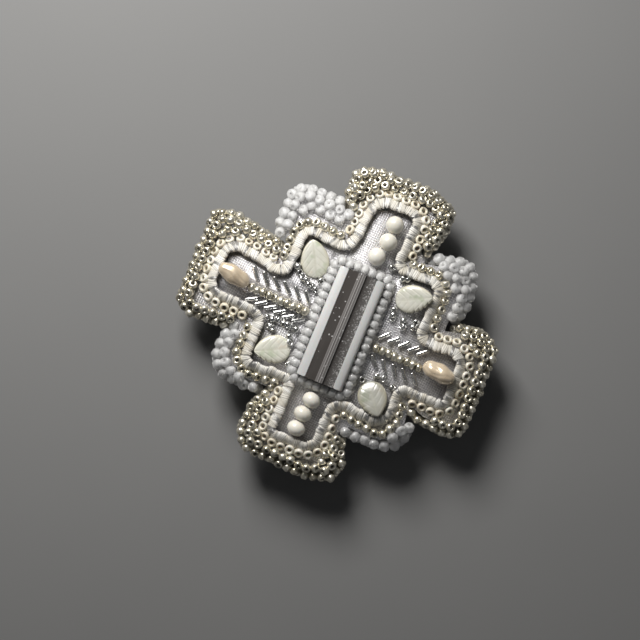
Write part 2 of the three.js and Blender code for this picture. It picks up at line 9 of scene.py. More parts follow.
import bmesh
import bpy
import numpy as np
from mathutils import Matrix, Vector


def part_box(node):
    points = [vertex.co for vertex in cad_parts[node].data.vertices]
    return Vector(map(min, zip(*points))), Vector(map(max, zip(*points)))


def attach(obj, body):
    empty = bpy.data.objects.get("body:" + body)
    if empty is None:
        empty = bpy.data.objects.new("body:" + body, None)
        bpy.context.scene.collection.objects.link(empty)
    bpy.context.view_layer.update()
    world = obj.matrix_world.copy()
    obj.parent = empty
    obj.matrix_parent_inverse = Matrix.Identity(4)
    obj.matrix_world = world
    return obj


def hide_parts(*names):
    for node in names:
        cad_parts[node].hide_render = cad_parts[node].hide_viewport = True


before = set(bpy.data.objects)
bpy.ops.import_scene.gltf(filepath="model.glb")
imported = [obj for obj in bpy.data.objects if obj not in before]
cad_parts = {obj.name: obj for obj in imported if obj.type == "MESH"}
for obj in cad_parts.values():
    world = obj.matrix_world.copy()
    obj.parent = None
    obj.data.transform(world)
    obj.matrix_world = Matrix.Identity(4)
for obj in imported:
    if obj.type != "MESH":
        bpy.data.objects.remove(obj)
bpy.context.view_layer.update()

MM = 0.001
TAU = 2 * math.pi
CHANCE = np.random.default_rng(7)


def node_box(node):
    """A node's lowest and highest corners, in millimetres."""
    low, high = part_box(node)
    return np.array(low) / MM, np.array(high) / MM


# ---------- sizes, in millimetres

FACE = node_box("wrapped_cord")[0][2]  # what is sewn on stands on the fabric here
FABRIC_HIGH = node_box("ground_fabric")[1][2]
LEATHER_LOW = node_box("leather_backing")[0][2]
STONE_LOW, STONE_HIGH = node_box("stone_glass")
BEZEL_LOW, BEZEL_HIGH = node_box("bezel_upper_row")

ARC_POINTS = 9
MIN_FILLET = 0.25
ROOM_FOR_ARC = 0.48  # the share of a side that one corner's arc may take up
CORD_RADIUS = 1.2
METAL_RADIUS, CREAM_RADIUS, FROSTED_RADIUS = 1.04, 1.10, 1.22
BEZEL_RADIUS, STEM_RADIUS, BUGLE_RADIUS, SCATTER_RADIUS = 1.03, 1.10, 0.54, 0.84
BUGLE_HALF = 1.4  # half a bugle's length

# How high the beads' middles stand over the fabric, and the gap under a pearl and a leaf.
RING_LIFT, STEM_LIFT, BUGLE_LIFT, SCATTER_LIFT = 0.72, 1.15, 0.55, 0.55
ARM_FILL_LIFT, LOBE_FILL_LIFT = 0.95, 0.75
PEARL_GAP, LEAF_GAP = 0.75, 0.1

PLY_INSET, FELT_INSET = -1.2, -1.6  # from the rim line of the edgings
CLOTH_THICKNESS = 0.3
THREADS_PER_MM = 2.7
BAR_THICKNESS = 0.8
SEWN_AT = (-11.0, -3.7, 3.7, 10.5)  # the sewing holes along the pin's bar

# Lines of rounded corners, anticlockwise round the brooch: x, y and the corner's radius.
CORD_LINE = [
    (8.3, 29.4, 2.6), (-2.6, 29.4, 3.5), (-3.9, 16.0, 3.0),
    (-15.3, 17.3, 2.8), (-15.1, 5.2, 2.2),
    (-30.1, 8.0, 3.6), (-30.4, -4.4, 3.4), (-16.6, -5.2, 2.5),
    (-16.8, -16.9, 2.5), (-4.6, -16.0, 2.2),
    (-5.1, -29.3, 1.9), (6.0, -28.9, 2.8), (5.9, -16.5, 3.0),
    (19.0, -18.6, 4.5), (18.6, -8.8, 1.9),
    (29.7, -8.8, 2.0), (29.6, 4.2, 3.6), (18.5, 3.3, 1.8),
    (18.7, 16.6, 2.6), (7.8, 16.6, 2.0),
]
ARM_LINES = {
    "top": [
        (12.6, 22.4, 0), (14.1, 25.5, 4), (14.8, 33.0, 2), (9.2, 35.2, 3), (-3.6, 35.2, 3),
        (-8.8, 33.6, 1.8), (-8.7, 28.0, 0), (-7.6, 24.2, 0),
    ],
    "left": [
        (-17.9, 11.2, 0), (-22.0, 12.0, 3), (-30.5, 13.8, 4), (-35.4, 12.6, 1.8),
        (-35.4, -8.8, 1.8), (-32.2, -10.9, 1.6), (-21.8, -10.1, 0),
    ],
    "bottom": [
        (-8.4, -19.6, 0), (-10.6, -24.5, 2), (-11.3, -30.3, 3), (-9.4, -34.3, 1.8),
        (5.3, -35.24, 4), (11.6, -33.8, 1.6), (13.0, -30.4, 1.4), (11.7, -27.0, 2),
        (10.9, -23.6, 0),
    ],
    "right": [
        (21.4, -12.2, 0), (25.5, -13.8, 3), (32.4, -14.2, 3), (35.4, -12.8, 1.8),
        (35.4, 8.0, 2.5), (31.0, 10.0, 3), (26.5, 9.4, 3), (24.2, 8.2, 0),
    ],
}
LOBE_LINES = {
    "upper_right": [
        (24.4, 9.6, 0), (25.4, 14.0, 3), (25.0, 19.0, 2), (23.2, 22.8, 1.6), (20.0, 23.0, 2),
        (15.5, 21.4, 3), (11.6, 20.6, 0),
    ],
    "upper_left": [
        (-5.6, 24.4, 0), (-10.0, 25.2, 3), (-17.5, 25.3, 3), (-20.2, 24.2, 1.8),
        (-20.4, 14.5, 2), (-18.9, 12.0, 0),
    ],
    "lower_left": [
        (-21.7, -9.8, 0), (-22.8, -13.0, 3), (-22.4, -18.2, 2), (-20.2, -20.7, 2),
        (-16.5, -21.3, 2), (-9.8, -20.9, 0),
    ],
    "lower_right": [
        (11.0, -22.4, 0), (15.0, -22.8, 3), (19.5, -22.4, 3), (23.0, -20.4, 2),
        (24.2, -17.4, 2), (23.7, -14.0, 0),
    ],
}
# The rings follow the cord's corners between a start and an end of their own.
ARM_RING_LINES = {
    "top": [(8.0, 19.2, 0), *CORD_LINE[0:2], (-3.6, 19.0, 0)],
    "left": [(-18.5, 5.8, 0), *CORD_LINE[5:7], (-19.5, -5.1, 0)],
    "bottom": [(-4.7, -18.8, 0), *CORD_LINE[10:12], (5.9, -19.6, 0)],
    "right": [(21.5, -8.8, 0), *CORD_LINE[15:17], (21.4, 3.5, 0)],
}
LOBE_RING_LINES = {
    "upper_right": [(18.6, 6.0, 0), CORD_LINE[18], (9.8, 16.6, 0)],
    "upper_left": [(-6.4, 16.3, 0), CORD_LINE[3], (-15.1, 8.4, 0)],
    "lower_left": [(-16.7, -7.9, 0), CORD_LINE[8], (-7.4, -16.2, 0)],
    "lower_right": [(8.6, -16.9, 0), CORD_LINE[13], (18.7, -11.4, 0)],
}


# ---------- lines and places


def unit(vectors):
    """Each vector at length one."""
    return vectors / np.linalg.norm(vectors, axis=-1, keepdims=True)


def right_of(ways):
    """The way to the right of each way, which is outwards on an anticlockwise line."""
    return np.stack([ways[:, 1], -ways[:, 0]], 1)


def once_round(count):
    """Angles at even steps round a whole turn."""
    return np.arange(count) * TAU / count


def polar(reach, turn):
    """Places at a reach from the middle and an angle round it."""
    return np.stack([reach * np.cos(turn), reach * np.sin(turn)], -1)


def round_surface(reach, turn, rise):
    """Points at a reach from the Z axis, an angle round it and a height, row by row."""
    level = np.broadcast_to(rise, np.broadcast_shapes(reach.shape, turn.shape))
    return np.concatenate([polar(reach, turn), level[..., None]], -1).reshape(-1, 3)


def moved_aside(corners, distance, closed):
    """Corners moved outwards so that every side stays parallel to itself.

    A corner moves along the middle of its two sides' outward normals, and its arc grows by
    the distance where the line turns left and shrinks where it turns right.
    """
    corners = np.array(corners, float)
    points, radii = corners[:, :2], corners[:, 2]
    ahead = unit(np.roll(points, -1, axis=0) - points)
    before = np.roll(ahead, 1, axis=0)
    if not closed:
        ahead[-1], before[0] = before[-1], ahead[0]
    side_before, side_ahead = right_of(before), right_of(ahead)
    middle = unit(side_before + side_ahead)
    reach = distance / (middle * side_before).sum(1)
    turn = np.sign(side_before[:, 0] * side_ahead[:, 1] - side_before[:, 1] * side_ahead[:, 0])
    radii = np.where(radii > 0, np.maximum(radii + turn * distance, MIN_FILLET), 0)
    return points + middle * reach[:, None], radii


def rounded_line(corners, distance=0.0, closed=False):
    """The points of a line of corners beside the given one, with an arc at each round corner."""
    points, radii = moved_aside(corners, distance, closed)
    line = []
    for i, (here, radius) in enumerate(zip(points, radii)):
        if radius == 0:
            line.append(here[None])
            continue
        to_before = points[i - 1] - here
        to_after = points[(i + 1) % len(points)] - here
        room = ROOM_FOR_ARC * min(np.linalg.norm(to_before), np.linalg.norm(to_after))
        to_before, to_after = unit(to_before), unit(to_after)
        half = math.acos(np.clip(to_before @ to_after, -1, 1)) / 2
        radius = min(radius, room * math.tan(half))
        centre = here + unit(to_before + to_after) * radius / math.sin(half)
        first = here + to_before * radius / math.tan(half) - centre
        turn = -np.sign(to_before[0] * to_after[1] - to_before[1] * to_after[0])
        sweep = turn * (math.pi - 2 * half) * np.linspace(0, 1, ARC_POINTS)
        angles = math.atan2(first[1], first[0]) + sweep
        line.append(centre + polar(radius, angles))
    line = np.concatenate(line)
    return np.concatenate([line, line[:1]]) if closed else line


def spaced(line, pitch, start=0.5, closed=False):
    """Places at an even pitch along a line, and the unit way that it runs at each.

    The pitch is stretched a little to fit the line, and the first place lies a share of it,
    the start, from the line's end.
    """
    steps = np.linalg.norm(np.diff(line, axis=0), axis=1)
    run = np.concatenate([[0], np.cumsum(steps)])
    total = run[-1]
    count = max(1, round(total / pitch))
    at = (np.arange(count) + start) * total / count

    def place(distance):
        distance = distance % total if closed else np.clip(distance, 0, total)
        return np.stack([np.interp(distance, run, line[:, k]) for k in (0, 1)], 1)

    reach = 0.25 * pitch
    return place(at), unit(place(at + reach) - place(at - reach))


def distance_to(line, places):
    """How far each place is from the nearest of a line's points, and that point's number."""
    apart = np.linalg.norm(places[:, None, :] - line[None, :, :], axis=2)
    return apart.min(1), apart.argmin(1)


def inside(line, places):
    """Whether a closed line runs round each place: it crosses an odd number of sides."""
    start, end = line[:-1], line[1:]
    x, y = places[:, :1], places[:, 1:2]
    spans = (start[:, 1] > y) != (end[:, 1] > y)
    rise = np.where(end[:, 1] == start[:, 1], 1e-12, end[:, 1] - start[:, 1])
    crossing = start[:, 0] + (y - start[:, 1]) * (end[:, 0] - start[:, 0]) / rise
    return (spans & (x < crossing)).sum(1) % 2 == 1


def ray_reach(lines, angles):
    """How far a ray at each angle runs from the middle before it leaves the last outline."""
    reach = np.zeros(len(angles))
    ray = polar(1.0, angles)[:, None, :]
    for line in lines:
        start, side = line[None, :-1], np.diff(line, axis=0)[None]
        cross = ray[..., 0] * side[..., 1] - ray[..., 1] * side[..., 0]
        cross = np.where(np.abs(cross) < 1e-9, 1e-9, cross)
        along_ray = (start[..., 0] * side[..., 1] - start[..., 1] * side[..., 0]) / cross
        along_side = (start[..., 0] * ray[..., 1] - start[..., 1] * ray[..., 0]) / cross
        meets = (along_side >= -1e-6) & (along_side <= 1 + 1e-6) & (along_ray > 0)
        reach = np.maximum(reach, np.where(meets, along_ray, 0).max(1))
    return reach


# ---------- meshes


def put_mesh(name, points, quads, finish, **layers):
    """A smooth mesh from points in millimetres, rows of four corners and values per point."""
    mesh = bpy.data.meshes.new(name)
    mesh.vertices.add(len(points))
    mesh.vertices.foreach_set("co", (points * MM).astype(np.float32).ravel())
    mesh.loops.add(quads.size)
    mesh.loops.foreach_set("vertex_index", quads.astype(np.int32).ravel())
    mesh.polygons.add(len(quads))
    mesh.polygons.foreach_set("loop_start", np.arange(0, quads.size, 4, dtype=np.int32))
    mesh.polygons.foreach_set("use_smooth", np.ones(len(quads), bool))
    for layer, values in layers.items():
        if layer == "uv":
            corner_uv = values[quads.ravel()].astype(np.float32)
            mesh.uv_layers.new(name="uv").data.foreach_set("uv", corner_uv.ravel())
        else:
            attribute = mesh.attributes.new(layer, "FLOAT", "POINT")
            attribute.data.foreach_set("value", np.asarray(values, np.float32))
    mesh.update()
    mesh.validate()
    mesh.materials.append(finish)
    piece = bpy.data.objects.new(name, mesh)
    bpy.context.scene.collection.objects.link(piece)
    return piece


def grid_quads(rows, columns, wrap_rows=False, wrap_columns=False):
    """The corners of a grid's cells: the next column, then the next row, seen from outside."""
    row = np.arange(rows if wrap_rows else rows - 1)[:, None]
    column = np.arange(columns if wrap_columns else columns - 1)[None, :]
    next_row, next_column = (row + 1) % rows, (column + 1) % columns
    corners = [
        row * columns + column,
        row * columns + next_column,
        next_row * columns + next_column,
        next_row * columns + column,
    ]
    return np.stack(corners, -1).reshape(-1, 4)


def close_poles(piece, within=1e-6):
    """Merges the points of a row that has shrunk to one place, and turns the faces out."""
    work = bmesh.new()
    work.from_mesh(piece.data)
    bmesh.ops.remove_doubles(work, verts=work.verts, dist=within)
    bmesh.ops.recalc_face_normals(work, faces=work.faces)
    work.to_mesh(piece.data)
    work.free()
    return piece


def finished(piece, slot, *nodes):
    """What every piece says: the body it rides on and the CAD parts it stands for, which are
    hidden; the slot is not used.
    """
    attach(piece, "brooch")
    if nodes:
        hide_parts(*nodes)


# ---------- material nodes


class Wire:
    """One output of a node. Arithmetic on it adds Math nodes."""

    def __init__(self, finish, socket):
        self.finish = finish
        self.socket = socket

    def math(self, operation, *values):
        return self.finish.node("Math", {"operation": operation}, [self, *values])

    def __add__(self, other):
        return self.math("ADD", other)

    def __sub__(self, other):
        return self.math("SUBTRACT", other)

    def __rsub__(self, other):
        return self.finish.node("Math", {"operation": "SUBTRACT"}, [other, self])

    def __mul__(self, other):
        return self.math("MULTIPLY", other)

    def __truediv__(self, other):
        return self.math("DIVIDE", other)

    def __mod__(self, other):
        return self.math("FLOORED_MODULO", other)

    def __abs__(self):
        return self.math("ABSOLUTE")

    __radd__ = __add__
    __rmul__ = __mul__


class Finish:
    """A material with one principled surface and the nodes that feed it."""

    def __init__(self, name, constants):
        self.material = bpy.data.materials.new(name)
        self.material.use_nodes = True
        self.tree = self.material.node_tree
        self.surface = self.tree.nodes["Principled BSDF"]
        for socket, value in constants.items():
            self.surface.inputs[socket].default_value = value

    def node(self, kind, settings, values, out=0):
        """Any node: its settings first, then its sockets by order or by name."""
        node = self.tree.nodes.new("ShaderNode" + kind)
        for name, value in settings.items():
            setattr(node, name, value)
        named = values.items() if isinstance(values, dict) else enumerate(values)
        for key, value in named:
            if isinstance(value, Wire):
                self.tree.links.new(value.socket, node.inputs[key])
            else:
                node.inputs[key].default_value = value
        return Wire(self, node.outputs[out])

    def attribute(self, name):
        return self.node("Attribute", {"attribute_name": name}, {}, out="Fac")

    def uv(self):
        both = self.node("UVMap", {"uv_map": "uv"}, {})
        return [self.node("SeparateXYZ", {}, [both], out=k) for k in (0, 1)]

    def place(self, scale=(1, 1, 1), turn=0.0):
        """The place on the brooch, scaled and turned about the vertical."""
        at = self.node("TexCoord", {}, {}, out="Object")
        sockets = {"Vector": at, "Scale": scale, "Rotation": (0, 0, turn)}
        return self.node("Mapping", {}, sockets)

    def noise(self, size, detail=2.0, stretch=(1, 1, 1)):
        """Soft noise from 0 to 1 with patches of about this size, in millimetres."""
        at = self.place(scale=[1 / (size * MM * s) for s in stretch])
        return self.node("TexNoise", {}, {"Vector": at, "Scale": 1.0, "Detail": detail})

    def mix(self, share, first, second, kind="MIX"):
        """A colour this share of the way from the first to the second."""
        settings = {"data_type": "RGBA", "blend_type": kind}
        return self.node("Mix", settings, {"Factor": share, 6: first, 7: second}, out=2)

    def shaded(self, color, shade):
        """A colour times a shade."""
        return self.mix(1.0, color, shade, kind="MULTIPLY")

    def between(self, value, low, high):
        """0 below low, 1 above high and a smooth step from one to the other."""
        sockets = {"Value": value, "From Min": low, "From Max": high}
        return self.node("MapRange", {"interpolation_type": "SMOOTHSTEP"}, sockets)

    def feed(self, socket, wire):
        self.tree.links.new(wire.socket, self.surface.inputs[socket])

    def bump(self, height, depth, dome=0.0):
        """Raises the surface by height, from 0 to 1, times a depth in millimetres.

        A dome leans it outwards too, as on a padded top that falls by the dome's number
        times the square of the distance from the middle, in metres.
        """
        height = height * (depth * MM)
        if dome:
            flat = self.place(scale=(1, 1, 0))
            squared = self.node("VectorMath", {"operation": "DOT_PRODUCT"}, [flat, flat], "Value")
            height = height - squared * dome
        self.feed("Normal", self.node("Bump", {}, {"Distance": 1.0, "Height": height}))

    def made(self, color, roughness=None, metallic=None):
        """The material, once what changes over its surface is fed to it."""
        for socket, wire in (
                ("Base Color", color), ("Roughness", roughness), ("Metallic", metallic)):
            if wire is not None:
                self.feed(socket, wire)
        return self.material


def rgb(red, green, blue):
    """An opaque colour, in linear light."""
    return (red, green, blue, 1.0)


# ---------- finishes


def champagne_metal():
    """Glass beads with a soft metal coat, each its own tone, darker round the hole with painted
    shade.
    """
    finish = Finish("champagne_metal", {"Coat Weight": 0.5, "Coat Roughness": 0.08})
    tone, girth, cloud = finish.attribute("tone"), finish.attribute("girth"), finish.noise(1.5)
    metal = finish.mix(tone, rgb(0.60, 0.55, 0.42), rgb(0.87, 0.83, 0.71))
    clouded = finish.mix(cloud * 0.3, metal, rgb(0.90, 0.87, 0.78))
    # painted shade: the colour darkens towards the hole and is full only at the bead's girth
    shade = 0.55 + finish.between(girth, 0.30, 0.7) * 0.45
    return finish.made(finish.shaded(clouded, shade), roughness=0.24 + tone * 0.08,
                       metallic=0.72 + cloud * 0.1)


def ivory_glass(name, deep, pale, dome):
    """Opaque ivory glass with faint clouding under a glossy skin."""
    finish = Finish(name, {
        "Coat Weight": 0.5, "Coat Roughness": 0.12, "Subsurface Weight": 0.2,
        "Subsurface Scale": 0.0008, "Subsurface Radius": (1.0, 0.8, 0.6),
    })
    tone, cloud = finish.attribute("tone"), finish.noise(0.9)
    finish.bump(cloud, 0.02, dome=dome)
    return finish.made(finish.mix(cloud * 0.3, finish.mix(tone, deep, pale), pale),
                       roughness=0.26 + cloud * 0.12)


def frosted_glass():
    """Partly see-through glass beads with an etched skin: the light goes in and spreads."""
    finish = Finish("frosted_glass", {
        "Transmission Weight": 0.12, "IOR": 1.40, "Alpha": 0.74, "Subsurface Weight": 1.0,
        "Subsurface Scale": 0.002, "Subsurface Radius": (1.0, 1.0, 1.0), "Coat Weight": 0.7,
        "Coat Roughness": 0.10, "Sheen Weight": 1.0, "Sheen Roughness": 0.35,
    })
    tone, etch = finish.attribute("tone"), finish.noise(0.25, detail=4)
    finish.bump(etch, 0.012, dome=10.0)
    return finish.made(finish.mix(tone, rgb(0.90, 0.89, 0.87), rgb(1.0, 0.995, 0.98)),
                       roughness=0.26 + etch * 0.20)


def silver_lined():
    """Clear glass over a silver lining, streaked where the lining is thin."""
    finish = Finish("silver_lined", {
        "Metallic": 0.9, "Coat Weight": 1.0, "Coat Roughness": 0.03,
    })
    tone, streak = finish.attribute("tone"), finish.noise(0.35, detail=3)
    silver = finish.mix(tone, rgb(0.70, 0.70, 0.68), rgb(0.96, 0.96, 0.95))
    thin = finish.between(streak, 0.5, 0.66)
    return finish.made(finish.mix(thin * 0.6, silver, rgb(0.20, 0.19, 0.18)),
                       roughness=0.16 + thin * 0.2)


def wound_thread():
    """Cream floss wound round a cord, with silver thread among the turns and painted shade in the
    gaps between turns.
    """
    finish = Finish("wound_thread", {"Sheen Weight": 0.3, "Sheen Roughness": 0.4})
    turns, _ = finish.uv()
    silver, tone, depth = (finish.attribute(name) for name in ("silver", "tone", "depth"))
    fibre = finish.noise(0.12, detail=3)
    strand = abs((turns * 3) % 1.0 - 0.5) * 2
    cream = finish.mix(tone, rgb(0.66, 0.60, 0.48), rgb(1.0, 0.99, 0.95))
    metal = finish.mix(fibre, rgb(0.30, 0.29, 0.28), rgb(0.78, 0.77, 0.75))
    # painted shade: darker where each turn's ridge falls away into the gap between turns
    shade = 0.28 + depth * 0.72 + fibre * 0.25
    finish.bump(strand * 0.5 + fibre, 0.06, dome=4.0)
    return finish.made(finish.shaded(finish.mix(silver, cream, metal), shade),
                       roughness=0.55 - silver * 0.2, metallic=silver * 0.7)


def metallic_cloth():
    """Plain weave of a grey warp and a silver metal weft, one cell per thread, with painted shade
    where the threads dip and painted glints.
    """
    finish = Finish("metallic_cloth", {"Sheen Weight": 0.05})
    warp, weft = finish.uv()
    over = (warp.math("FLOOR") + weft.math("FLOOR")) % 2.0
    warp_height, weft_height = (abs((way * math.pi).math("SINE")) for way in (warp, weft))
    height = over * warp_height + (1 - over) * weft_height
    slub, glint_and_grain = finish.noise(1.6, detail=3), finish.noise(0.32, detail=2)
    grey = finish.mix(slub, rgb(0.50, 0.49, 0.51), rgb(0.66, 0.65, 0.67))
    silver = finish.mix(slub, rgb(0.70, 0.69, 0.72), rgb(0.92, 0.91, 0.94))
    # painted shade where each thread dips under the next, and painted glints from a fine noise,
    # which also roughens the bump
    shade = 0.32 + height * 0.40 + glint_and_grain * 1.2
    finish.bump(height * 0.8 + glint_and_grain, 0.10, dome=11.0)
    return finish.made(finish.shaded(finish.mix(over, silver, grey), shade),
                       roughness=0.46 + over * 0.10, metallic=0.97 - over * 0.12)


def smoky_glass():
    """Dark smoky glass with small bubbles, a lighter band and thin bright lines painted along
    its ridge as painted reflections, and frosted in specks towards its right side."""
    finish = Finish("smoky_glass", {
        "IOR": 1.5, "Coat Weight": 1.0, "Coat Roughness": 0.02, "Transmission Weight": 0.15,
    })
    across = finish.node("SeparateXYZ", {}, [finish.place()]) / MM
    right = finish.between(across, 1.9, 4.6)
    # painted reflections: the ridge band is lightened and thin bright lines are painted along its
    # facets
    ridge = finish.between(across, 0.0, 0.3) * finish.between(across, 2.1, 1.8)
    line = finish.between(abs((across - 0.10) % 0.53 - 0.06), 0.07, 0.02) * ridge
    cloud = finish.noise(1.8, detail=3, stretch=(1, 5, 1))
    speck = finish.between(finish.noise(0.38, detail=3), 0.50, 0.66)
    cells = finish.place(scale=(760, 640, 1), turn=0.6)
    from_bubble = finish.node("TexVoronoi", {"voronoi_dimensions": "2D"},
                              {"Vector": cells, "Scale": 1.0})
    chosen = finish.between(finish.noise(1.3, detail=1), 0.55, 0.58)
    bubble = finish.between(from_bubble, 0.16, 0.08) * chosen
    dark = finish.mix(cloud, rgb(0.055, 0.048, 0.044), rgb(0.105, 0.096, 0.09))
    ridged = finish.mix(ridge * 0.30 + line * 0.7, dark, rgb(0.55, 0.53, 0.52))
    frosted = finish.mix(right * speck * 0.7 + right * 0.20, ridged, rgb(0.60, 0.59, 0.58))
    return finish.made(finish.mix(bubble * 0.8, frosted, rgb(0.78, 0.77, 0.76)),
                       roughness=0.06 + right * speck * 0.3)


def white_glass():
    """Opaque white glass, fused, with a satin, slightly pitted skin."""
    finish = Finish("white_glass", {
        "Coat Weight": 0.15, "Subsurface Weight": 0.1, "Subsurface Scale": 0.001,
    })
    pit, cloud = finish.noise(0.3, detail=4), finish.noise(2.2)
    finish.bump(pit, 0.04)
    return finish.made(finish.mix(cloud, rgb(0.60, 0.605, 0.60), rgb(0.68, 0.68, 0.67)),
                       roughness=0.34 + pit * 0.2)


def shell():
    """Mother-of-pearl: growth bands with green and rose lights under a polished skin."""
    finish = Finish("shell", {"Coat Weight": 0.6, "Coat Roughness": 0.12})
    band, light = finish.noise(1.1, detail=3, stretch=(1, 2.4, 1)), finish.noise(2.6)
    cut, rim, lustre = (finish.attribute(name) for name in ("cut", "rim", "lustre"))
    pale = finish.mix(band, rgb(0.80, 0.79, 0.66), rgb(0.94, 0.93, 0.86))
    green = finish.mix(finish.between(light, 0.48, 0.72), pale, rgb(0.64, 0.69, 0.53))
    rose = finish.mix(finish.between(light, 0.40, 0.2) * 0.6, green, rgb(0.90, 0.78, 0.62))
    # painted shade: each leaf's colour is multiplied by the light it is given, so the dim leaf is
    # painted darker
    edged = finish.mix(rim * 0.55, finish.shaded(rose, lustre), rgb(0.60, 0.54, 0.35))
    finish.bump(band, 0.04)
    # painted shade: the carved midrib and veins are darkened
    return finish.made(finish.mix(cut * 0.45, edged, rgb(0.55, 0.53, 0.42)),
                       roughness=0.24 + band * 0.12)


def pearl_skin():
    """Peach-cream pearl with soft rings and a bright skin."""
    finish = Finish("pearl_skin", {
        "Coat Weight": 0.9, "Coat Roughness": 0.10, "Sheen Weight": 0.25,
    })
    ring, cloud = finish.noise(1.0, detail=2, stretch=(0.5, 3, 3)), finish.noise(2.4)
    peach = finish.mix(cloud, rgb(0.58, 0.42, 0.25), rgb(0.76, 0.62, 0.44))
    finish.bump(ring, 0.05)
    return finish.made(finish.mix(ring * 0.55, peach, rgb(0.88, 0.80, 0.66)),
                       roughness=0.22 + cloud * 0.12, metallic=0.12 + ring * 0.1)


def leather():
    """Grey garment leather: a fine pebble grain with darker pores."""
    finish = Finish("leather", {"Specular IOR Level": 0.35})
    at = finish.place(scale=(1600, 1600, 1600))
    pebble = finish.node("TexVoronoi", {"feature": "SMOOTH_F1"}, {"Vector": at, "Scale": 1.0})
    stain = finish.noise(9.0, detail=3)
    grey = finish.mix(stain, rgb(0.24, 0.235, 0.23), rgb(0.36, 0.35, 0.34))
    finish.bump(1 - pebble, 0.08)
    return finish.made(finish.mix(pebble * 0.35, grey, rgb(0.15, 0.145, 0.14)),
                       roughness=0.58 + pebble * 0.2)


def felt():
    """Pressed wool felt with a hairy skin."""
    finish = Finish("felt", {"Sheen Weight": 0.5, "Roughness": 0.95})
    hair = finish.noise(0.12, detail=5, stretch=(1, 3, 1))
    finish.bump(hair, 0.10)
    return finish.made(finish.mix(hair, rgb(0.55, 0.54, 0.53), rgb(0.76, 0.75, 0.74)))


def board():
    """Stiff board with fine fibres."""
    finish = Finish("board", {"Roughness": 0.8})
    fibre = finish.noise(0.3, detail=4, stretch=(1, 4, 1))
    finish.bump(fibre, 0.02)
    return finish.made(finish.mix(fibre, rgb(0.58, 0.53, 0.44), rgb(0.74, 0.70, 0.62)))


def nickel():
    """Nickel plate with fine drawn lines along the pin and a few dull spots."""
    finish = Finish("nickel", {"Metallic": 1.0})
    drawn, dull = finish.noise(0.12, detail=3, stretch=(30, 1, 1)), finish.noise(2.2, detail=3)
    spot = finish.between(dull, 0.55, 0.72)
    finish.bump(drawn, 0.006)
    return finish.made(finish.mix(spot, rgb(0.66, 0.65, 0.63), rgb(0.52, 0.50, 0.46)),
                       roughness=0.20 + drawn * 0.12 + spot * 0.15)


def sewing_thread():
    """Fine grey nylon thread."""
    finish = Finish("sewing_thread", {"Sheen Weight": 0.3})
    twist = finish.noise(0.08, detail=2)
    return finish.made(finish.mix(twist, rgb(0.44, 0.43, 0.42), rgb(0.70, 0.69, 0.67)),
                       roughness=0.45 + twist * 0.2)


def backdrop():
    """Plain matt grey card with a faint grain."""
    finish = Finish("backdrop", {})
    grain = finish.noise(40, detail=2)
    return finish.made(finish.mix(grain, rgb(0.212, 0.212, 0.211), rgb(0.228, 0.228, 0.226)),
                       roughness=0.85 + grain * 0.1)


CHAMPAGNE_METAL = champagne_metal()
RING_IVORY = ivory_glass("ring_ivory", rgb(0.68, 0.61, 0.47), rgb(0.88, 0.84, 0.74), dome=4.5)
BALL_IVORY = ivory_glass("ball_ivory", rgb(0.78, 0.75, 0.66), rgb(0.86, 0.83, 0.75), dome=0.0)
FROSTED_GLASS = frosted_glass()
SILVER_LINED = silver_lined()
WOUND_THREAD = wound_thread()
METALLIC_CLOTH = metallic_cloth()
SMOKY_GLASS = smoky_glass()
WHITE_GLASS = white_glass()
SHELL = shell()
PEARL_SKIN = pearl_skin()
LEATHER = leather()
FELT = felt()
BOARD = board()
NICKEL = nickel()
SEWING_THREAD = sewing_thread()


# ---------- camera, lights and floor

VIEW_TURN = math.radians(22.4)  # the brooch lies turned by this much in the view
VIEW_WIDTH, FACE_LEVEL = 0.1455, 0.010  # metres across the view, at the level of the face
VIEW_CENTRE = (-0.0040, -0.0012)
LENS, SENSOR = 100.0, 36.0
FLOOR_SIDE, FLOOR_LINES = 3000.0, 9


def camera():
    """Looks straight down, far enough away to see the view's width at the face."""
    data = bpy.data.cameras.new("camera")
    data.lens, data.sensor_width = LENS, SENSOR
    eye = bpy.data.objects.new("camera", data)
    distance = VIEW_WIDTH * LENS / SENSOR
    eye.location = (*VIEW_CENTRE, FACE_LEVEL + distance)
    eye.rotation_euler = (0, 0, VIEW_TURN)
    bpy.context.scene.collection.objects.link(eye)
    bpy.context.scene.camera = eye


def softbox(name, direction, height, distance, size, power, color):
    """A square area light, its direction and its height over the floor in degrees, that
    points at the brooch."""
    data = bpy.data.lights.new(name, "AREA")
    data.shape, data.size, data.energy, data.color = "SQUARE", size, power, color
    turn, rise = math.radians(direction), math.radians(height)
    way = np.array([*polar(math.cos(rise), turn), math.sin(rise)])
    lamp = bpy.data.objects.new(name, data)
    lamp.location = way * distance
    lamp.rotation_euler = (math.pi / 2 - rise, 0, turn + math.pi / 2)
    bpy.context.scene.collection.objects.link(lamp)


def floor():
    """A wide flat card under the brooch."""
    steps = np.linspace(-FLOOR_SIDE / 2, FLOOR_SIDE / 2, FLOOR_LINES)
    x, y = np.meshgrid(steps, steps)
    points = np.stack([x, y, 0 * x], -1).reshape(-1, 3)
    put_mesh("floor", points, grid_quads(FLOOR_LINES, FLOOR_LINES), backdrop())


def studio():
    """One small bright softbox from the upper left, a weak wide one and a little sky."""
    world = bpy.data.worlds.new("studio")
    world.use_nodes = True
    surroundings = world.node_tree.nodes["Background"].inputs
    surroundings["Color"].default_value = rgb(0.85, 0.86, 0.88)
    surroundings["Strength"].default_value = 0.05
    bpy.context.scene.world = world
    softbox("key", direction=132, height=41, distance=0.30, size=0.13, power=1.2,
            color=(1.0, 0.985, 0.96))
    softbox("far_wall", direction=-40, height=25, distance=1.6, size=1.0, power=0.8,
            color=(0.95, 0.97, 1.0))
    bpy.context.scene.view_settings.view_transform = "Standard"


camera()
floor()
studio()


# ---------- how the fabric lies

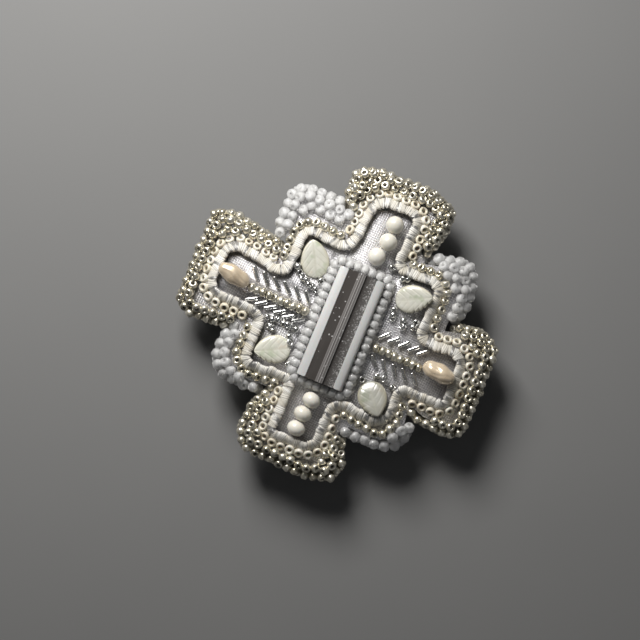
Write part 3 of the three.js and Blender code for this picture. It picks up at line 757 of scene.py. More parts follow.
CORD_LOOP = rounded_line(CORD_LINE, closed=True)
CORD_STEP, COUCHING_PITCH = 0.4, 2.4
CORD_POINTS = spaced(CORD_LOOP, CORD_STEP, closed=True)[0]
STEM_ROWS = {  # start, end and how many beads
    "left": ((-21.9, -0.25), (-7.1, -0.7), 10),
    "right": ((9.4, -2.2), (21.5, -2.6), 8),
}
BUGLE_ROWS = {  # first middle, last middle, how many and their heading
    "left_upper": ((-21.6, 3.2), (-8.6, 2.5), 6, -50),
    "left_lower": ((-20.1, -2.65), (-8.6, -3.2), 6, 33),
    "right_upper": ((10.8, 1.0), (20.4, 0.8), 5, 43),
    "right_lower": ((10.8, -5.2), (20.8, -5.4), 5, -55),
}
BALL_AND_PEARL_ROWS = [
    ((3.5, 27.0), (2.4, 15.5)), ((1.1, -17.0), (0.3, -27.8)),
    ((-28.5, 1.4), (-22.5, 0.2)), ((22.0, -1.8), (28.0, -2.2)),
]


def on_segment(start, end, shares):
    """Places at these shares of the way from a start to an end."""
    return np.array(start) + (np.array(end) - np.array(start)) * shares[:, None]


def holding_lines():
    """What pulls the fabric down inside the cord: strings of beads, bugles and pearls."""
    pairs = [row[:2] for row in (*STEM_ROWS.values(), *BUGLE_ROWS.values())]
    shares = np.linspace(0, 1, 30)
    return np.concatenate([on_segment(*pair, shares) for pair in pairs + BALL_AND_PEARL_ROWS])


def fabric_rise(places):
    """How far the fabric stands proud over the felt.

    It is crowned between the lines that hold it down, by one less an exponential of the
    distance, and lies flatter towards the lower right. Puckers run into the cord where each
    couching stitch pulls.
    """
    away, nearest = distance_to(CORD_POINTS, places)
    away = np.maximum(away - CORD_RADIUS, 0)
    low, high = BEZEL_LOW[:2], BEZEL_HIGH[:2]
    from_bezel = np.linalg.norm(np.maximum(np.maximum(low - places, places - high), 0), axis=1)
    from_rows = distance_to(HOLDING_LINES, places)[0]
    within = inside(CORD_LOOP, places)
    x, y = places.T
    sunk = np.clip((x - y) / 13, 0, 1)
    crown = (0.95 - 0.85 * sunk) * (1 - np.exp(-away / 0.6))
    rows_hold = 1 - 0.8 * np.exp(-(from_rows / 1.3) ** 2)
    held = crown * (1 - np.exp(-from_bezel)) * rows_hold
    outside = 0.30 * (1 - np.exp(-away / 0.8))
    pucker = 0.07 * np.cos(TAU * nearest * CORD_STEP / COUCHING_PITCH) * np.exp(-away)
    ripple = 0.05 * np.sin(x * 0.9 + 1.3 * np.sin(y * 0.55)) * within
    return np.where(within, held, outside) + (pucker + ripple) * (1 - 0.6 * sunk)


HOLDING_LINES = holding_lines()


# ---------- beads


def signed_power(wave, power):
    """A wave raised to a power, with its own sign."""
    return np.sign(wave) * np.abs(wave) ** power


def bead_form(hole, half_height, around=12, across=6, softness=0.85):
    """A bead of radius 1 with its hole along Z: a ring with a rounded, squarish section.

    The section goes round an ellipse between the hole's wall and the girth, with the cosine
    and the sine raised to a power under 1, which squares it. Its points start half a step
    on, so that the girth and the wall are short flats.
    """
    t = (np.arange(across)[:, None] + 0.5) * TAU / across
    turn = once_round(around)
    half = (1 - hole) / 2
    out, rise = signed_power(np.cos(t), softness), signed_power(np.sin(t), softness)
    reach = 1 - half + half * out / out.max()
    points = round_surface(reach, turn, rise * half_height / np.abs(rise).max())
    return points, grid_quads(across, around, True, True), reach.repeat(around)


def ball_form(hole, stretch, around=36, across=24):
    """A drilled ball of radius 1: an arc from hole edge to hole edge, then the hole's wall.

    The poles are drawn out by the stretch, and the arc's cosine is raised a little under 1,
    so that the ball's girth is full.
    """
    edge, in_wall = math.acos(hole), 4
    t = np.linspace(-edge, edge, across)
    wall = np.sin(edge) * np.linspace(0.92, -0.92, in_wall)
    reach = np.concatenate([np.cos(t) ** 0.92, np.full(in_wall, hole * 0.9)])[:, None]
    rise = stretch * np.concatenate([np.sin(t), wall])[:, None]
    quads = grid_quads(across + in_wall, around, True, True)[:, ::-1]
    return round_surface(reach, once_round(around), rise), quads, reach.repeat(around)


SEED = bead_form(0.28, 0.80)
RING_SEED = bead_form(0.46, 0.62)
ROUND_SEED = bead_form(0.14, 0.88, softness=1.0)
STEM_SEED = bead_form(0.28, 0.70, softness=1.0)
SCATTER_SEED = bead_form(0.42, 0.78)
BUGLE = bead_form(0.45, 2.75, around=10, across=8, softness=0.18)


class Beads:
    """Beads of one kind: where each is, which way its hole runs, and its radius."""

    def __init__(self):
        self.centres = np.zeros((0, 3))
        self.axes = np.zeros((0, 3))
        self.radii = np.zeros(0)

    def add(self, centres, axes, radii):
        self.centres = np.concatenate([self.centres, centres])
        self.axes = np.concatenate([self.axes, unit(axes)])
        self.radii = np.concatenate([self.radii, np.broadcast_to(radii, len(centres))])
        return self

    def mesh(self, name, form, finish):
        """All beads as one mesh: the form turned to each axis, scaled and moved."""
        steady = np.where(np.abs(self.axes[:, 2:]) > 0.9, [[1.0, 0, 0]], [[0, 0, 1.0]])
        side = unit(np.cross(steady, self.axes))
        other = np.cross(self.axes, side)
        points, quads, girth = form
        turned = (
            points[None, :, :1] * side[:, None]
            + points[None, :, 1:2] * other[:, None]
            + points[None, :, 2:] * self.axes[:, None]
        )
        placed = self.centres[:, None] + turned * self.radii[:, None, None]
        count = len(points)
        corners = quads[None] + (np.arange(len(placed)) * count)[:, None, None]
        tone = np.repeat(CHANCE.random(len(placed)), count)
        return put_mesh(name, placed.reshape(-1, 3), corners.reshape(-1, 4), finish, tone=tone,
                        girth=np.tile(girth, len(placed)))


def raised(places, height):
    """Places with a height."""
    return np.column_stack([places, np.broadcast_to(height, len(places))])


def shaken(count, spread):
    """Small random moves, one for each bead."""
    return CHANCE.normal(0, spread, (count, 3))


def tilted_axes(ways, outward, along, up, spread):
    """Hole axes as a mix of outwards, along the row and up, each bead a little off."""
    out = right_of(ways)
    axes = np.column_stack([out * outward + ways * along, np.full(len(ways), up)])
    return axes + shaken(len(ways), spread)


def varied(count, radius):
    """Radii up to 8 percent off the nominal one, mostly within 4."""
    return radius * (1 + CHANCE.normal(0, 0.04, count).clip(-0.08, 0.08))


# Where the beads leave the fabric bare: x, y and radius.
BARE_PATCHES = np.array([
    (-30.6, -6.8, 2.0), (-2.2, 33.1, 1.0), (6.5, -31.4, 2.2), (-18.8, 8.8, 2.4),
    (-8.8, 20.4, 3.0),
])


def ring_rows():
    """The bead rows beside the cord, tucked under its bulge: cream ones with their holes up,
    metal ones at all angles."""
    kinds = (("cream_ring", ARM_RING_LINES, CREAM_RADIUS, 2.2, 0.0, 0.16),
             ("metal_ring", LOBE_RING_LINES, METAL_RADIUS, 2.05, 0.7, 0.40))
    from_cord = 1.92
    rows = {}
    for kind, lines, radius, pitch, along, spread in kinds:
        for place, line in lines.items():
            centres, ways = spaced(rounded_line(line, from_cord), pitch)
            height = FACE + RING_LIFT + CHANCE.normal(0, 0.10, len(centres))
            axes = tilted_axes(ways, 0.60, along, 1.0, spread)
            places = raised(centres, height) + shaken(len(centres), 0.08)
            rows[f"{kind}_{place}"] = Beads().add(places, axes, varied(len(centres), radius))
    return rows


def with_room(places, others, apart):
    """Which places are at least this far from all beads sewn before."""
    return np.linalg.norm(places[:, None] - others[None], axis=2).min(1) > apart


def fill_between(beads, line, offsets, height, radius, taken, apart, least=None):
    """Adds beads on lines inside a band wherever one has room between those already sewn.

    Where least is given, only places at least that far out from the middle, along the way
    to the line's corners, are filled.
    """
    try_every = 0.3
    outward = unit(np.array(line)[:, :2].mean(0))
    for offset in offsets:
        places, ways = spaced(rounded_line(line, offset), try_every)
        axes = tilted_axes(ways, 0.8, 0.3, 0.7, 0.5)
        bare = np.linalg.norm(places[:, None] - BARE_PATCHES[None, :, :2], axis=2)
        free = (bare > BARE_PATCHES[None, :, 2]).all(1)
        free &= distance_to(CORD_POINTS, places)[0] > CORD_RADIUS + 0.8 * radius
        if least is not None:
            free &= places @ outward > least
        for place, axis in zip(places[free], axes[free]):
            here = np.array([*place, height + CHANCE.normal(0, 0.12)])
            if np.linalg.norm(taken - here, axis=1).min() > apart:
                beads.add(here[None], axis[None], varied(1, radius))
                taken = np.concatenate([taken, here[None]])


# A course of edging: its offset from the rim line, its height over the face, where its first
# bead starts, and how much the holes run outwards, along the row and up.
ARM_SIDE_COURSES = [(-0.05, -2.3, 0.5, 0.2, 1.0, 0.2), (0.05, -0.4, 0.0, 0.6, 0.7, 0.3)]
ARM_FACE_COURSES = {
    "top": [(-0.95, 1.05, 0.5, 0.6, 0.3, 0.8), (-2.15, 1.10, 0.0, 0.3, 0.3, 0.9)],
    "left": [(-1.65, 0.95, 0.5, 0.5, 0.3, 0.8)],
    "bottom": [(-1.75, 0.95, 0.5, 0.5, 0.3, 0.8)],
    "right": [(-1.60, 0.95, 0.5, 0.5, 0.3, 0.8)],
}
LOBE_COURSES = [
    (-0.05, -2.2, 0.5, 0.2, 1.0, 0.2), (0.0, -0.3, 0.0, 0.5, 0.7, 0.3),
    (-1.25, 0.60, 0.5, 0.5, 0.4, 0.8), (-3.1, 0.70, 0.0, 0.5, 0.4, 0.8),
]
# The offsets of the lines on which single beads fill a band, and how far in from a lobe's
# outermost corner its filling goes.
ARM_FILL, LOBE_FILL, LOBE_FILL_REACH = (-2.9, -3.5, -4.1, -4.8, -5.5), (-4.4, -5.2), 9.5
BEZEL_COURSES = {"lower": (1.60, 0.75, 0.5), "upper": (1.12, 2.15, 0.0)}


def sewn_courses(line, courses, radius, taken, pitch, spread):
    """The courses along a rim line, without the beads that would sit in those sewn before."""
    beads = Beads()
    for offset, height, start, outward, along, up in courses:
        centres, ways = spaced(rounded_line(line, offset), pitch, start=start)
        axes = tilted_axes(ways, outward, along, up, spread)
        places = raised(centres, FACE + height) + shaken(len(centres), 0.12)
        keep = with_room(places, taken, 1.5 * radius)
        beads.add(places[keep], axes[keep], varied(keep.sum(), radius))
    return beads


def edgings(rings):
    """The arms' edgings, then the lobes', each with single beads that fill its corners."""
    taken = np.concatenate([row.centres for row in rings.values()])
    sewn = {}
    for place, line in ARM_LINES.items():
        courses = ARM_SIDE_COURSES + ARM_FACE_COURSES[place]
        beads = sewn_courses(line, courses, METAL_RADIUS, taken, pitch=2.06, spread=0.30)
        before = np.concatenate([taken, beads.centres])
        fill_between(beads, line, ARM_FILL, FACE + ARM_FILL_LIFT, METAL_RADIUS, before,
                     apart=1.72)
        taken = np.concatenate([taken, beads.centres])
        sewn[f"arm_edging_{place}"] = beads
    for place, line in LOBE_LINES.items():
        beads = sewn_courses(line, LOBE_COURSES, FROSTED_RADIUS, taken, pitch=2.35, spread=0.45)
        corners = np.array(line)[:, :2]
        near_corner = (corners @ unit(corners.mean(0))).max() - LOBE_FILL_REACH
        before = np.concatenate([taken, beads.centres])
        fill_between(beads, line, LOBE_FILL, FACE + LOBE_FILL_LIFT, FROSTED_RADIUS, before,
                     apart=2.1, least=near_corner)
        taken = np.concatenate([taken, beads.centres])
        sewn[f"lobe_edging_{place}"] = beads
    return sewn


def settle(rows, rounds=45):
    """Lets the beads find room: each is pushed off those that it would cut into, off the cord
    and up from the fabric, and is drawn back a little towards its own place."""
    places = np.concatenate([beads.centres for beads in rows])
    radii = np.concatenate([beads.radii for beads in rows])
    home = places.copy()
    on_face = home[:, 2] > FACE + 0.4
    lowest = np.where(on_face, FACE + 0.66 * radii, home[:, 2] - 0.3)
    highest = home[:, 2] + 0.35
    from_cord = CORD_RADIUS + 0.60 * radii
    touching = 0.93 * (radii[:, None] + radii[None])
    np.fill_diagonal(touching, 0)
    for _ in range(rounds):
        between = places[:, None] - places[None]
        apart = np.linalg.norm(between, axis=2) + np.eye(len(places))
        push = np.clip(touching - apart, 0, None) / apart
        places += 0.4 * (between * push[..., None]).sum(1) + 0.05 * (home - places)
        away, nearest = distance_to(CORD_POINTS, places[:, :2])
        short = np.clip(from_cord - away, 0, None)
        places[:, :2] += (short / away)[:, None] * (places[:, :2] - CORD_POINTS[nearest])
        places[:, 2] = np.clip(places[:, 2], lowest, highest)
    start = 0
    for beads in rows:
        beads.centres = places[start:start + len(beads.radii)]
        start += len(beads.radii)


def sew_edges():
    """The rings and the edgings, which find their places together before they are made."""
    rows = ring_rows()
    rows.update(edgings(rows))
    settle(list(rows.values()))
    for name, beads in rows.items():
        if name.startswith("cream"):
            slot, finish, form = "ivory_glass", RING_IVORY, RING_SEED
        elif name.startswith("lobe"):
            slot, finish, form = "frosted_glass", FROSTED_GLASS, ROUND_SEED
        else:
            slot, finish, form = "champagne_metal", CHAMPAGNE_METAL, SEED
        finished(beads.mesh(f"{name}_beads", form, finish), slot, name)


def bezel():
    """Two courses of frosted beads round the stone, the upper one leaning over its edge."""
    left, bottom, _ = node_box("stone_bar_left")[0]
    right, top, _ = node_box("stone_bar_right")[1]
    pitch, corner = 1.86, 0.3
    edge = [(right, top, corner), (left, top, corner), (left, bottom, corner),
            (right, bottom, corner)]
    for name, (offset, height, start) in BEZEL_COURSES.items():
        centres, ways = spaced(rounded_line(edge, offset, closed=True), pitch, start, closed=True)
        places = raised(centres, FACE + height) + shaken(len(centres), 0.09)
        axes = tilted_axes(ways, 0.2, 1.0, 0.15, 0.3)
        beads = Beads().add(places, axes, varied(len(centres), BEZEL_RADIUS))
        node = f"bezel_{name}_row"
        finished(beads.mesh(f"{node}_beads", ROUND_SEED, FROSTED_GLASS), "frosted_glass", node)


def stems():
    """The strings of metal beads from the stone to the pearls, threaded along the row."""
    for side, (start, end, count) in STEM_ROWS.items():
        places = on_segment(start, end, (np.arange(count) + 0.5) / count)
        centres = raised(places, FACE + STEM_LIFT + fabric_rise(places)) + shaken(count, 0.07)
        axes = raised(np.tile(np.array(end) - start, (count, 1)), 0.0)
        beads = Beads().add(
            centres, unit(axes) + shaken(count, 0.25), varied(count, STEM_RADIUS))
        piece = beads.mesh(f"stem_{side}_beads", STEM_SEED, CHAMPAGNE_METAL)
        finished(piece, "champagne_metal", f"stem_row_{side}")


def bugles():
    """The slanted bugles on either side of each stem, like the veins of a leaf. Each lies on
    the highest of the fabric under its middle and its two ends."""
    for name, (start, end, count, heading) in BUGLE_ROWS.items():
        places = on_segment(start, end, np.linspace(0, 1, count))
        way = polar(1.0, math.radians(heading))
        under = [fabric_rise(places + way * reach) for reach in (-BUGLE_HALF, 0.0, BUGLE_HALF)]
        centres = raised(places, FACE + BUGLE_LIFT + np.max(under, axis=0)) + shaken(count, 0.06)
        axes = np.tile([*way, 0.0], (count, 1)) + shaken(count, 0.05)
        beads = Beads().add(centres, axes, BUGLE_RADIUS)
        piece = beads.mesh(f"bugle_{name}_tubes", BUGLE, SILVER_LINED)
        finished(piece, "silver_lined", f"bugle_row_{name}")


# Small silver-lined beads scattered beside the veins: a start, an end and how many.
SCATTER_RUNS = [
    ((-13.4, 8.2), (-11.0, 5.8), 3), ((-10.8, 5.8), (-7.0, 4.6), 4), ((-7.5, 6.7), (-6.9, 7.2), 1),
    ((-15.8, -5.2), (-7.4, -5.2), 7), ((-9.8, -7.1), (-7.4, -8.7), 2),
    ((-7.4, -14.0), (-7.2, -12.4), 1), ((-14.6, -7.2), (-13.4, -6.7), 2),
    ((10.6, 8.0), (11.1, 4.9), 3), ((13.7, 6.6), (13.8, 4.1), 2), ((16.3, 4.6), (16.4, 7.6), 2),
    ((9.0, 15.0), (11.4, 14.6), 2), ((6.4, 15.9), (6.7, 16.3), 1),
    ((12.1, -8.2), (15.2, -8.3), 2), ((16.9, -8.6), (17.0, -9.6), 1),
    ((9.8, -10.2), (9.9, -9.0), 1),
]


def scattered_seeds():
    """Loose silver-lined seeds, their holes mostly up."""
    beads = Beads()
    for start, end, count in SCATTER_RUNS:
        places = on_segment(start, end, (np.arange(count) + 0.5) / count)
        centres = raised(places, FACE + SCATTER_LIFT + fabric_rise(places)) + shaken(count, 0.20)
        beads.add(centres, shaken(count, 1.0) + [0, 0, 0.6], varied(count, SCATTER_RADIUS))
    finished(beads.mesh("scattered_seeds", SCATTER_SEED, SILVER_LINED), "silver_lined")


def round_beads():
    """The three ivory beads in the top and the bottom arm, strung along the arm."""
    for side, leans in (("top", (0.02, 0.28, 0.30)), ("bottom", (0.18, 0.14, 0.06))):
        for number, lean in enumerate(leans, start=1):
            node = f"round_bead_{side}_{number}"
            low, high = node_box(node)
            middle, half = (low + high) / 2, (high - low) / 2
            beads = Beads().add(middle[None], np.array([[lean, 1.0, 0.0]]), half[0])
            form = ball_form(0.17, half[1] / half[0])
            piece = beads.mesh(f"{node}_glass", form, BALL_IVORY)
            finished(piece, "ivory_glass", node)


sew_edges()
bezel()
stems()
bugles()
scattered_seeds()
round_beads()


# ---------- shell leaves and pearls

LEAVES = {  # how much light each leaf gets, painted into its colour as shade and also scaling its carving, then x, y, length, width, heading and tilt
    "upper_left": (0.88, -10.4, 11.2, 8.8, 6.5, 118, 3),
    "upper_right": (0.78, 13.9, 11.3, 8.7, 6.4, 27, 16),
    "lower_left": (0.90, -11.5, -11.5, 8.3, 6.5, 207, 4),
    "lower_right": (0.42, 13.9, -13.2, 8.4, 6.6, -52, 16),
}
NOTCHES = {  # on which side, how deep, where they start and how many per leaf length
    "upper_left": (0, 0.0, 0.5, 6), "upper_right": (-1, 0.50, 0.35, 8),
    "lower_left": (1, 0.45, 0.40, 7), "lower_right": (-1, 0.25, 0.5, 6),
}
PEARLS = {  # x, y, length, width, heading and tilt
    "left": (-25.8, 0.85, 7.9, 4.3, 168, 7),
    "right": (25.3, -2.0, 7.8, 4.4, -5, 7),
}


def turned_to(points, x, y, z, heading, tilt):
    """Tilts points that lie along +X up at their far end, turns them to a heading and moves
    them to their place."""
    turn, rise = math.radians(heading), math.radians(tilt)
    far = points[:, 0] * math.cos(rise) - points[:, 2] * math.sin(rise)
    up = points[:, 0] * math.sin(rise) + points[:, 2] * math.cos(rise)
    return np.stack([
        x + far * math.cos(turn) - points[:, 1] * math.sin(turn),
        y + far * math.sin(turn) + points[:, 1] * math.cos(turn),
        z + up,
    ], 1)


def leaf(corner, lustre, x, y, length, width, heading, tilt):
    """A carved shell leaf.

    Half its width at a share u of its length is a power of u times a power of 1 - u, less
    the notches of its edge. Round each section the two faces bulge as one less a high power
    of the place across. A midrib and slanted veins are cut into the upper face, each a bell
    curve of the distance to its middle.
    """
    thickness, stations, sides, widest = 1.5, 120, 112, 0.42
    vein_pitch, vein_slant, rib_width, carving_depth = 1.75, 1.15, 0.16, 0.09
    notched, depth, first, per_leaf = NOTCHES[corner]
    u = (0.5 - 0.5 * np.cos(np.linspace(0, math.pi, stations)))[:, None]
    turn = once_round(sides)
    across = signed_power(np.cos(turn), 0.7) + 0 * u
    half = width / 2 * (u / widest) ** 0.5 * ((1 - u) / (1 - widest)) ** 0.69
    saw = (u * per_leaf) % 1.0
    cut = depth * saw ** 2 * np.clip((u - first) * 8, 0, 1) * np.clip((0.96 - u) * 20, 0, 1)
    half = half - cut * (np.sign(across) == notched)
    side = across * half
    bulge = (1 - np.abs(across) ** 5) * np.minimum(1, 2.2 * np.sqrt(u * (1 - u)))
    rise = np.where(turn < math.pi, 1.0, -1.0) * thickness / 2 * np.maximum(bulge, 0) ** 0.6
    run = (u - 0.5) * length
    rib = np.exp(-(side / rib_width) ** 2) * np.clip(u * 12, 0, 1)
    vein_run = (run + vein_slant * np.abs(side) + 0.25 * np.sign(side)) / vein_pitch
    vein = np.exp(-((vein_run % 1.0 - 0.5) / 0.07) ** 2)
    vein *= np.clip((np.abs(side) - 0.25) * 3, 0, 1) * np.clip(1.05 - np.abs(across), 0, 0.3) / 0.3
    carved = np.where(turn < math.pi, np.maximum(rib * 0.9, vein), 0.0)
    rise = rise - carving_depth * lustre * carved
    points = np.stack([run + 0 * side, side, rise], -1).reshape(-1, 3)
    lift = FACE + LEAF_GAP + thickness / 2 + length / 2 * math.sin(math.radians(tilt))
    # cut carries the carving, which the shell's finish darkens as painted shade
    piece = put_mesh(f"shell_leaf_{corner}_carved", turned_to(points, x, y, lift, heading, tilt),
                     grid_quads(stations, sides, False, True), SHELL, cut=lustre * carved.ravel(),
                     rim=(np.abs(across) ** 6).ravel(), lustre=np.full(len(points), lustre))
    finished(close_poles(piece), "shell", f"shell_leaf_{corner}")


def pearl(side, x, y, length, width, heading, tilt):
    """A rice pearl: an egg round its length with soft folds.

    The radius is that of an ellipsoid, times one plus a few slow waves round it and along
    it, and a shallow fold runs along its upper side.
    """
    stations, sides = 64, 56
    phase = 0.6 if side == "left" else 2.3
    lay = np.linspace(-math.pi / 2, math.pi / 2, stations)[:, None]
    turn = once_round(sides)
    run = np.sin(lay)
    waves = (
        0.045 * np.sin(2.1 * run * math.pi + 1.4 * np.sin(turn + phase))
        + 0.035 * np.sin(3 * turn + 1.6 * run + phase)
        - 0.060 * np.exp(-((turn - 1.75 - 0.25 * np.sin(3 * run + phase)) / 0.12) ** 2)
        - 0.035 * np.exp(-((turn - 1.25 - 0.2 * np.sin(4 * run)) / 0.10) ** 2)
    )
    reach = np.cos(lay) ** 0.8 * (1 + waves)
    along = (0.5 * length * run + 0 * turn)[..., None]
    points = np.concatenate([along, polar(0.485 * width * reach, turn)], -1).reshape(-1, 3)
    lift = FACE + width / 2 + PEARL_GAP
    piece = put_mesh(f"rice_pearl_{side}_skin", turned_to(points, x, y, lift, heading, tilt),
                     grid_quads(stations, sides, False, True), PEARL_SKIN)
    finished(close_poles(piece), "pearl", f"rice_pearl_{side}")


for corner, measures in LEAVES.items():
    leaf(corner, *measures)
for side, measures in PEARLS.items():
    pearl(side, *measures)


# ---------- the stone


SHARP_ANGLE = math.radians(32)


def prism(name, section, finish, ease):
    """A bar along the stone with a closed section of x and height, and eased ends.

    Each end row is drawn in towards the section's middle by the ease, and the last row is
    the middle itself.
    """
    section = np.array(section)
    middle = section.mean(0)
    spread = np.abs(section - middle).max(0)
    bottom, top = STONE_LOW[1], STONE_HIGH[1]
    rows = []
    for y, inset in ((bottom, None), (bottom, ease), (bottom + ease, 0), (top - ease, 0),
                     (top, ease), (top, None)):
        share = np.zeros(2) if inset is None else 1 - inset / spread
        at = middle + (section - middle) * share
        rows.append(np.column_stack([at[:, 0], np.full(len(at), y), FACE + at[:, 1]]))
    piece = put_mesh(name, np.concatenate(rows), grid_quads(6, len(section), False, True), finish)
    close_poles(piece)
    piece.data.set_sharp_from_angle(angle=SHARP_ANGLE)
    return piece


def arc(middle, radius, start, end):
    """Six points on a circle from one angle to another, in degrees."""
    return np.array(middle) + polar(radius, np.radians(np.linspace(start, end, 6)))


def stone():
    """A glass cabochon of flat panels beside a stepped ridge, between two satin white bars."""
    left, right = STONE_LOW[0], STONE_HIGH[0]
    glass = [
        (left, 0.02), (right, 0.02), (right, 4.25), (2.05, 4.62), (1.78, 5.12), (1.2, 5.26),
        (1.05, 5.10), (0.92, 5.10), (0.78, 5.26), (0.36, 5.16), (0.12, 4.66), (left, 4.25),
    ]
    finished(prism("stone_glass_cut", glass, SMOKY_GLASS, 0.12), "clear_glass", "stone_glass")
    soft, crown = 0.9, ((0.06, 4.28), (0.6, 4.26), (1.2, 4.15))
    for side, sign, first, last in (("left", -1, 115, 180), ("right", 1, 65, 0)):
        low, high = node_box(f"stone_bar_{side}")
        inner, outer = (high[0], low[0]) if side == "left" else (low[0], high[0])
        crest = [(inner + sign * out, rise) for out, rise in crown]
        shoulder = arc((outer - sign * soft, 3.2), soft, first, last)
        section = [(inner, 0.02), (inner, 4.22), *crest, *shoulder, (outer, 0.02)]
        piece = prism(f"stone_bar_{side}_satin", section, WHITE_GLASS, 0.22)
        finished(piece, "white_glass", f"stone_bar_{side}")


stone()


# ---------- cord


def wrapped_cord():
    """A cord wound with thread, couched along its line.

    The tube's section is an ellipse. Along the run its radius swells over each packet of
    turns and falls between two packets, and single threads stand out as narrow ridges that
    lean a little round the cord. Each packet is shifted sideways by its own small amount.
    The whole section leans outwards, down the pad's shoulder.
    """
    sides, step, thread, strands = 20, 0.065, 0.36, 4096
    middle, flat_below, lean_out = 1.0, 0.95, 0.45
    places, ways = spaced(CORD_LOOP, step, start=0.0, closed=True)
    count = len(places)
    run = np.arange(count) * step
    seams = np.cumsum(CHANCE.uniform(1.1, 2.2, int(run[-1])))
    seams = np.concatenate([[0], seams[seams < run[-1] - 0.8], [run[-1] + step]])
    packet = np.searchsorted(seams, run, side="right") - 1
    share = (run - seams[packet]) / (seams[packet + 1] - seams[packet])
    bulge = 1 - np.abs(2 * share - 1) ** 3.5
    swell = CHANCE.normal(0.02, 0.045, len(seams))[packet] * bulge
    shift = CHANCE.normal(0, 0.14, len(seams))[packet] * bulge
    lean = CHANCE.normal(0.15, 0.25, len(seams))[packet]
    around = once_round(sides)
    turns = (run[:, None] + lean[:, None] * np.cos(around)) / thread
    turns = turns + 0.35 * np.sin(run[:, None] * 2.1)
    number = np.floor(turns).astype(int) % strands
    ridge = np.sin(math.pi * (turns % 1.0)) ** 0.7
    thread_rise = CHANCE.normal(0, 0.035, strands)[number]
    reach = (0.87 + 0.09 * bulge + swell)[:, None] + 0.085 * ridge + thread_rise
    out = right_of(ways)
    side = CORD_RADIUS * reach * np.cos(around) + shift[:, None]
    rise = np.maximum(1.06 * reach * np.sin(around), -flat_below)
    points = np.concatenate([
        places[:, None, :] + out[:, None, :] * side[..., None],
        (FACE + middle + rise - lean_out * side)[..., None],
    ], -1).reshape(-1, 3)
    silver_packet = (CHANCE.random(len(seams)) < 0.12)[packet][:, None] * 0.30
    silver_share = 0.12 + silver_packet + 0.3 * (bulge < 0.5)[:, None]
    silver = CHANCE.random(strands)[number // 2] < silver_share
    packet_tone = CHANCE.random(len(seams))[packet][:, None]
    tone = 0.2 + 0.3 * packet_tone + 0.5 * CHANCE.random(strands)[number // 2]
    uv = np.stack([turns, around + 0 * turns], -1).reshape(-1, 2)
    quads = grid_quads(count, sides, True, True)[:, ::-1]
    # depth carries each turn's ridge, from which the thread's finish paints shade into the gaps
    piece = put_mesh("wrapped_cord_windings", points, quads, WOUND_THREAD,
                     silver=silver.ravel(), tone=tone.ravel(), depth=ridge.ravel(), uv=uv)
    finished(piece, "wound_thread", "wrapped_cord")


wrapped_cord()


# ---------- fabric, felt and leather

RAYS = 600
RAY_ANGLES = once_round(RAYS)


def outline_reach(inset):
    """How far the brooch's outline, moved in by the inset, is from the middle at each ray."""
    lines = [
        rounded_line([corner for side in lines.values() for corner in side], inset, closed=True)
        for lines in (ARM_LINES, LOBE_LINES)
    ]
    return ray_reach(lines, RAY_ANGLES)


def ground_fabric():
    """The fabric as rings from the middle out to the rim, with its weave laid in its map.

    Each ring is a share of the outline's reach, and stands as high as the fabric rises.
    """
    rings, weave_turn = 82, math.radians(38)
    reach = outline_reach(PLY_INSET)
    share = np.linspace(0.002, 1, rings)[:, None]
    places = polar(share * reach, RAY_ANGLES).reshape(-1, 2)
    rise = np.concatenate([fabric_rise(part) for part in np.array_split(places, 16)])
    rim = np.clip((1 - share) * 12, 0, 1).repeat(RAYS, 1).ravel()
    points = raised(places, FABRIC_HIGH - 0.05 + rise * rim)
    cos, sin = math.cos(weave_turn), math.sin(weave_turn)
    uv = places @ np.array([[cos, -sin], [sin, cos]]) * THREADS_PER_MM
    piece = put_mesh("ground_fabric_cloth", points, grid_quads(rings, RAYS, False, True)[:, ::-1],
                     METALLIC_CLOTH, uv=uv)
    close_poles(piece, within=5e-6)
    wall = piece.modifiers.new("thickness", "SOLIDIFY")
    wall.thickness, wall.offset = CLOTH_THICKNESS * MM, -1
    flat_area = 0.5 * (reach ** 2).sum() * TAU / RAYS * MM * MM
    finished(piece, "metallic_cloth", "ground_fabric")


def soft_ply(node, kind, inset, softness, finish):
    """A flat ply with a soft rim: rings go out under it, round its rim and back over it.

    Its faces are flat, and its rim's section is half an ellipse as deep as the ply.
    """
    reach, (low, high) = outline_reach(inset), node_box(node)
    face = np.linspace(0, 1, 24)[:, None]
    t = np.linspace(-math.pi / 2, math.pi / 2, 12)[1:-1, None]
    out = np.concatenate([
        face * (reach - softness),
        reach - softness + softness * np.cos(t),
        face[::-1] * (reach - softness),
    ])
    middle, half = (low[2] + high[2]) / 2, (high[2] - low[2]) / 2
    rise = np.concatenate([face * 0 - half, half * np.sin(t), face * 0 + half])
    points = round_surface(out, RAY_ANGLES, middle + rise)
    quads = grid_quads(len(out), RAYS, False, True)
    return close_poles(put_mesh(f"{node}_{kind}", points, quads, finish))


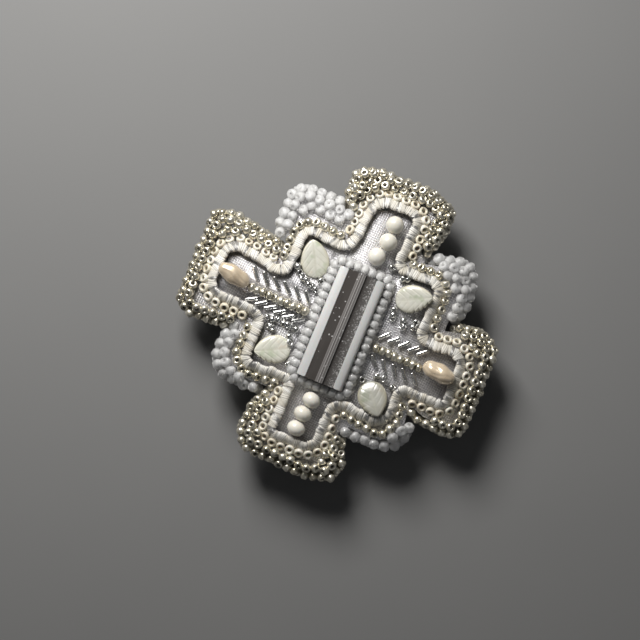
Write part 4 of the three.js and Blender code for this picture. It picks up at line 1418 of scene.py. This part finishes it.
def stitches(name, starts, ends, drop, thickness):
    """Stitches as thin tubes with pointed ends.

    Each runs from its start to its end and hangs below that line by the drop times the
    sine of its share of the way, raised to a power under 1, so that it lies flat between.
    """
    stations, sides = 16, 6
    share = np.linspace(0, 1, stations)[None, :, None]
    path = starts[:, None] + (ends - starts)[:, None] * share
    path[..., 2:] -= drop * np.sin(math.pi * share) ** 0.4
    ahead = unit(np.gradient(path, axis=1))
    across = unit(np.cross(ahead, [0, 0, 1.0]))
    up = np.cross(across, ahead)
    turn = once_round(sides)[:, None]
    ring = across[:, :, None] * np.cos(turn) + up[:, :, None] * np.sin(turn)
    width = thickness * np.sin(math.pi * share) ** 0.2
    points = (path[:, :, None] + ring * width[..., None]).reshape(-1, 3)
    first = np.arange(len(starts))[:, None, None] * stations * sides
    quads = (grid_quads(stations, sides, False, True)[None] + first).reshape(-1, 4)
    finished(close_poles(put_mesh(name, points, quads, SEWING_THREAD)), "wound_thread")


def back_stitches():
    """Slanted stitches round the leather's rim, and the loops that sew the pin's bar on."""
    reach = outline_reach(PLY_INSET)
    rim = polar(reach, RAY_ANGLES)
    places, ways = spaced(np.concatenate([rim, rim[:1]]), 2.1, closed=True)
    out = right_of(ways)
    starts = raised(places - out * 1.4 + ways * 0.35, LEATHER_LOW + 0.05)
    ends = raised(places + out * 0.1 - ways * 0.35, LEATHER_LOW + 0.35)
    stitches("rim_stitches", starts, ends, 0.16, 0.11)
    bar_low = node_box("pin_bar")[1][2] - BAR_THICKNESS
    loops = [(x + aside, side) for x in SEWN_AT for aside in (-0.2, 0.2) for side in (-1, 1)]
    x, side = np.array(loops).T
    starts = np.stack([x, side * 0.3, 0 * x + bar_low + 0.5], 1)
    ends = np.stack([x + side * 0.3, side * 2.75, 0 * x + bar_low + BAR_THICKNESS], 1)
    stitches("bar_stitches", starts, ends, 0.85, 0.13)


def plies():
    """The leather behind and the felt pad under the fabric."""
    back = soft_ply("leather_backing", "hide", PLY_INSET, 0.5, LEATHER)
    finished(back, "leather", "leather_backing")
    pad = soft_ply("felt_padding", "pad", FELT_INSET, 0.75, FELT)
    finished(pad, "felt", "felt_padding")


plies()
back_stitches()
ground_fabric()


# ---------- what is kept from the frame


def refinish(node, finish):
    """Gives a part whose CAD shape stays a better material."""
    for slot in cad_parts[node].material_slots:
        slot.material = finish


for node in ("pin_bar", "hinge_rivet", "pin_stem", "catch_housing", "catch_rotor"):
    refinish(node, NICKEL)
refinish("stiffener_plate", BOARD)
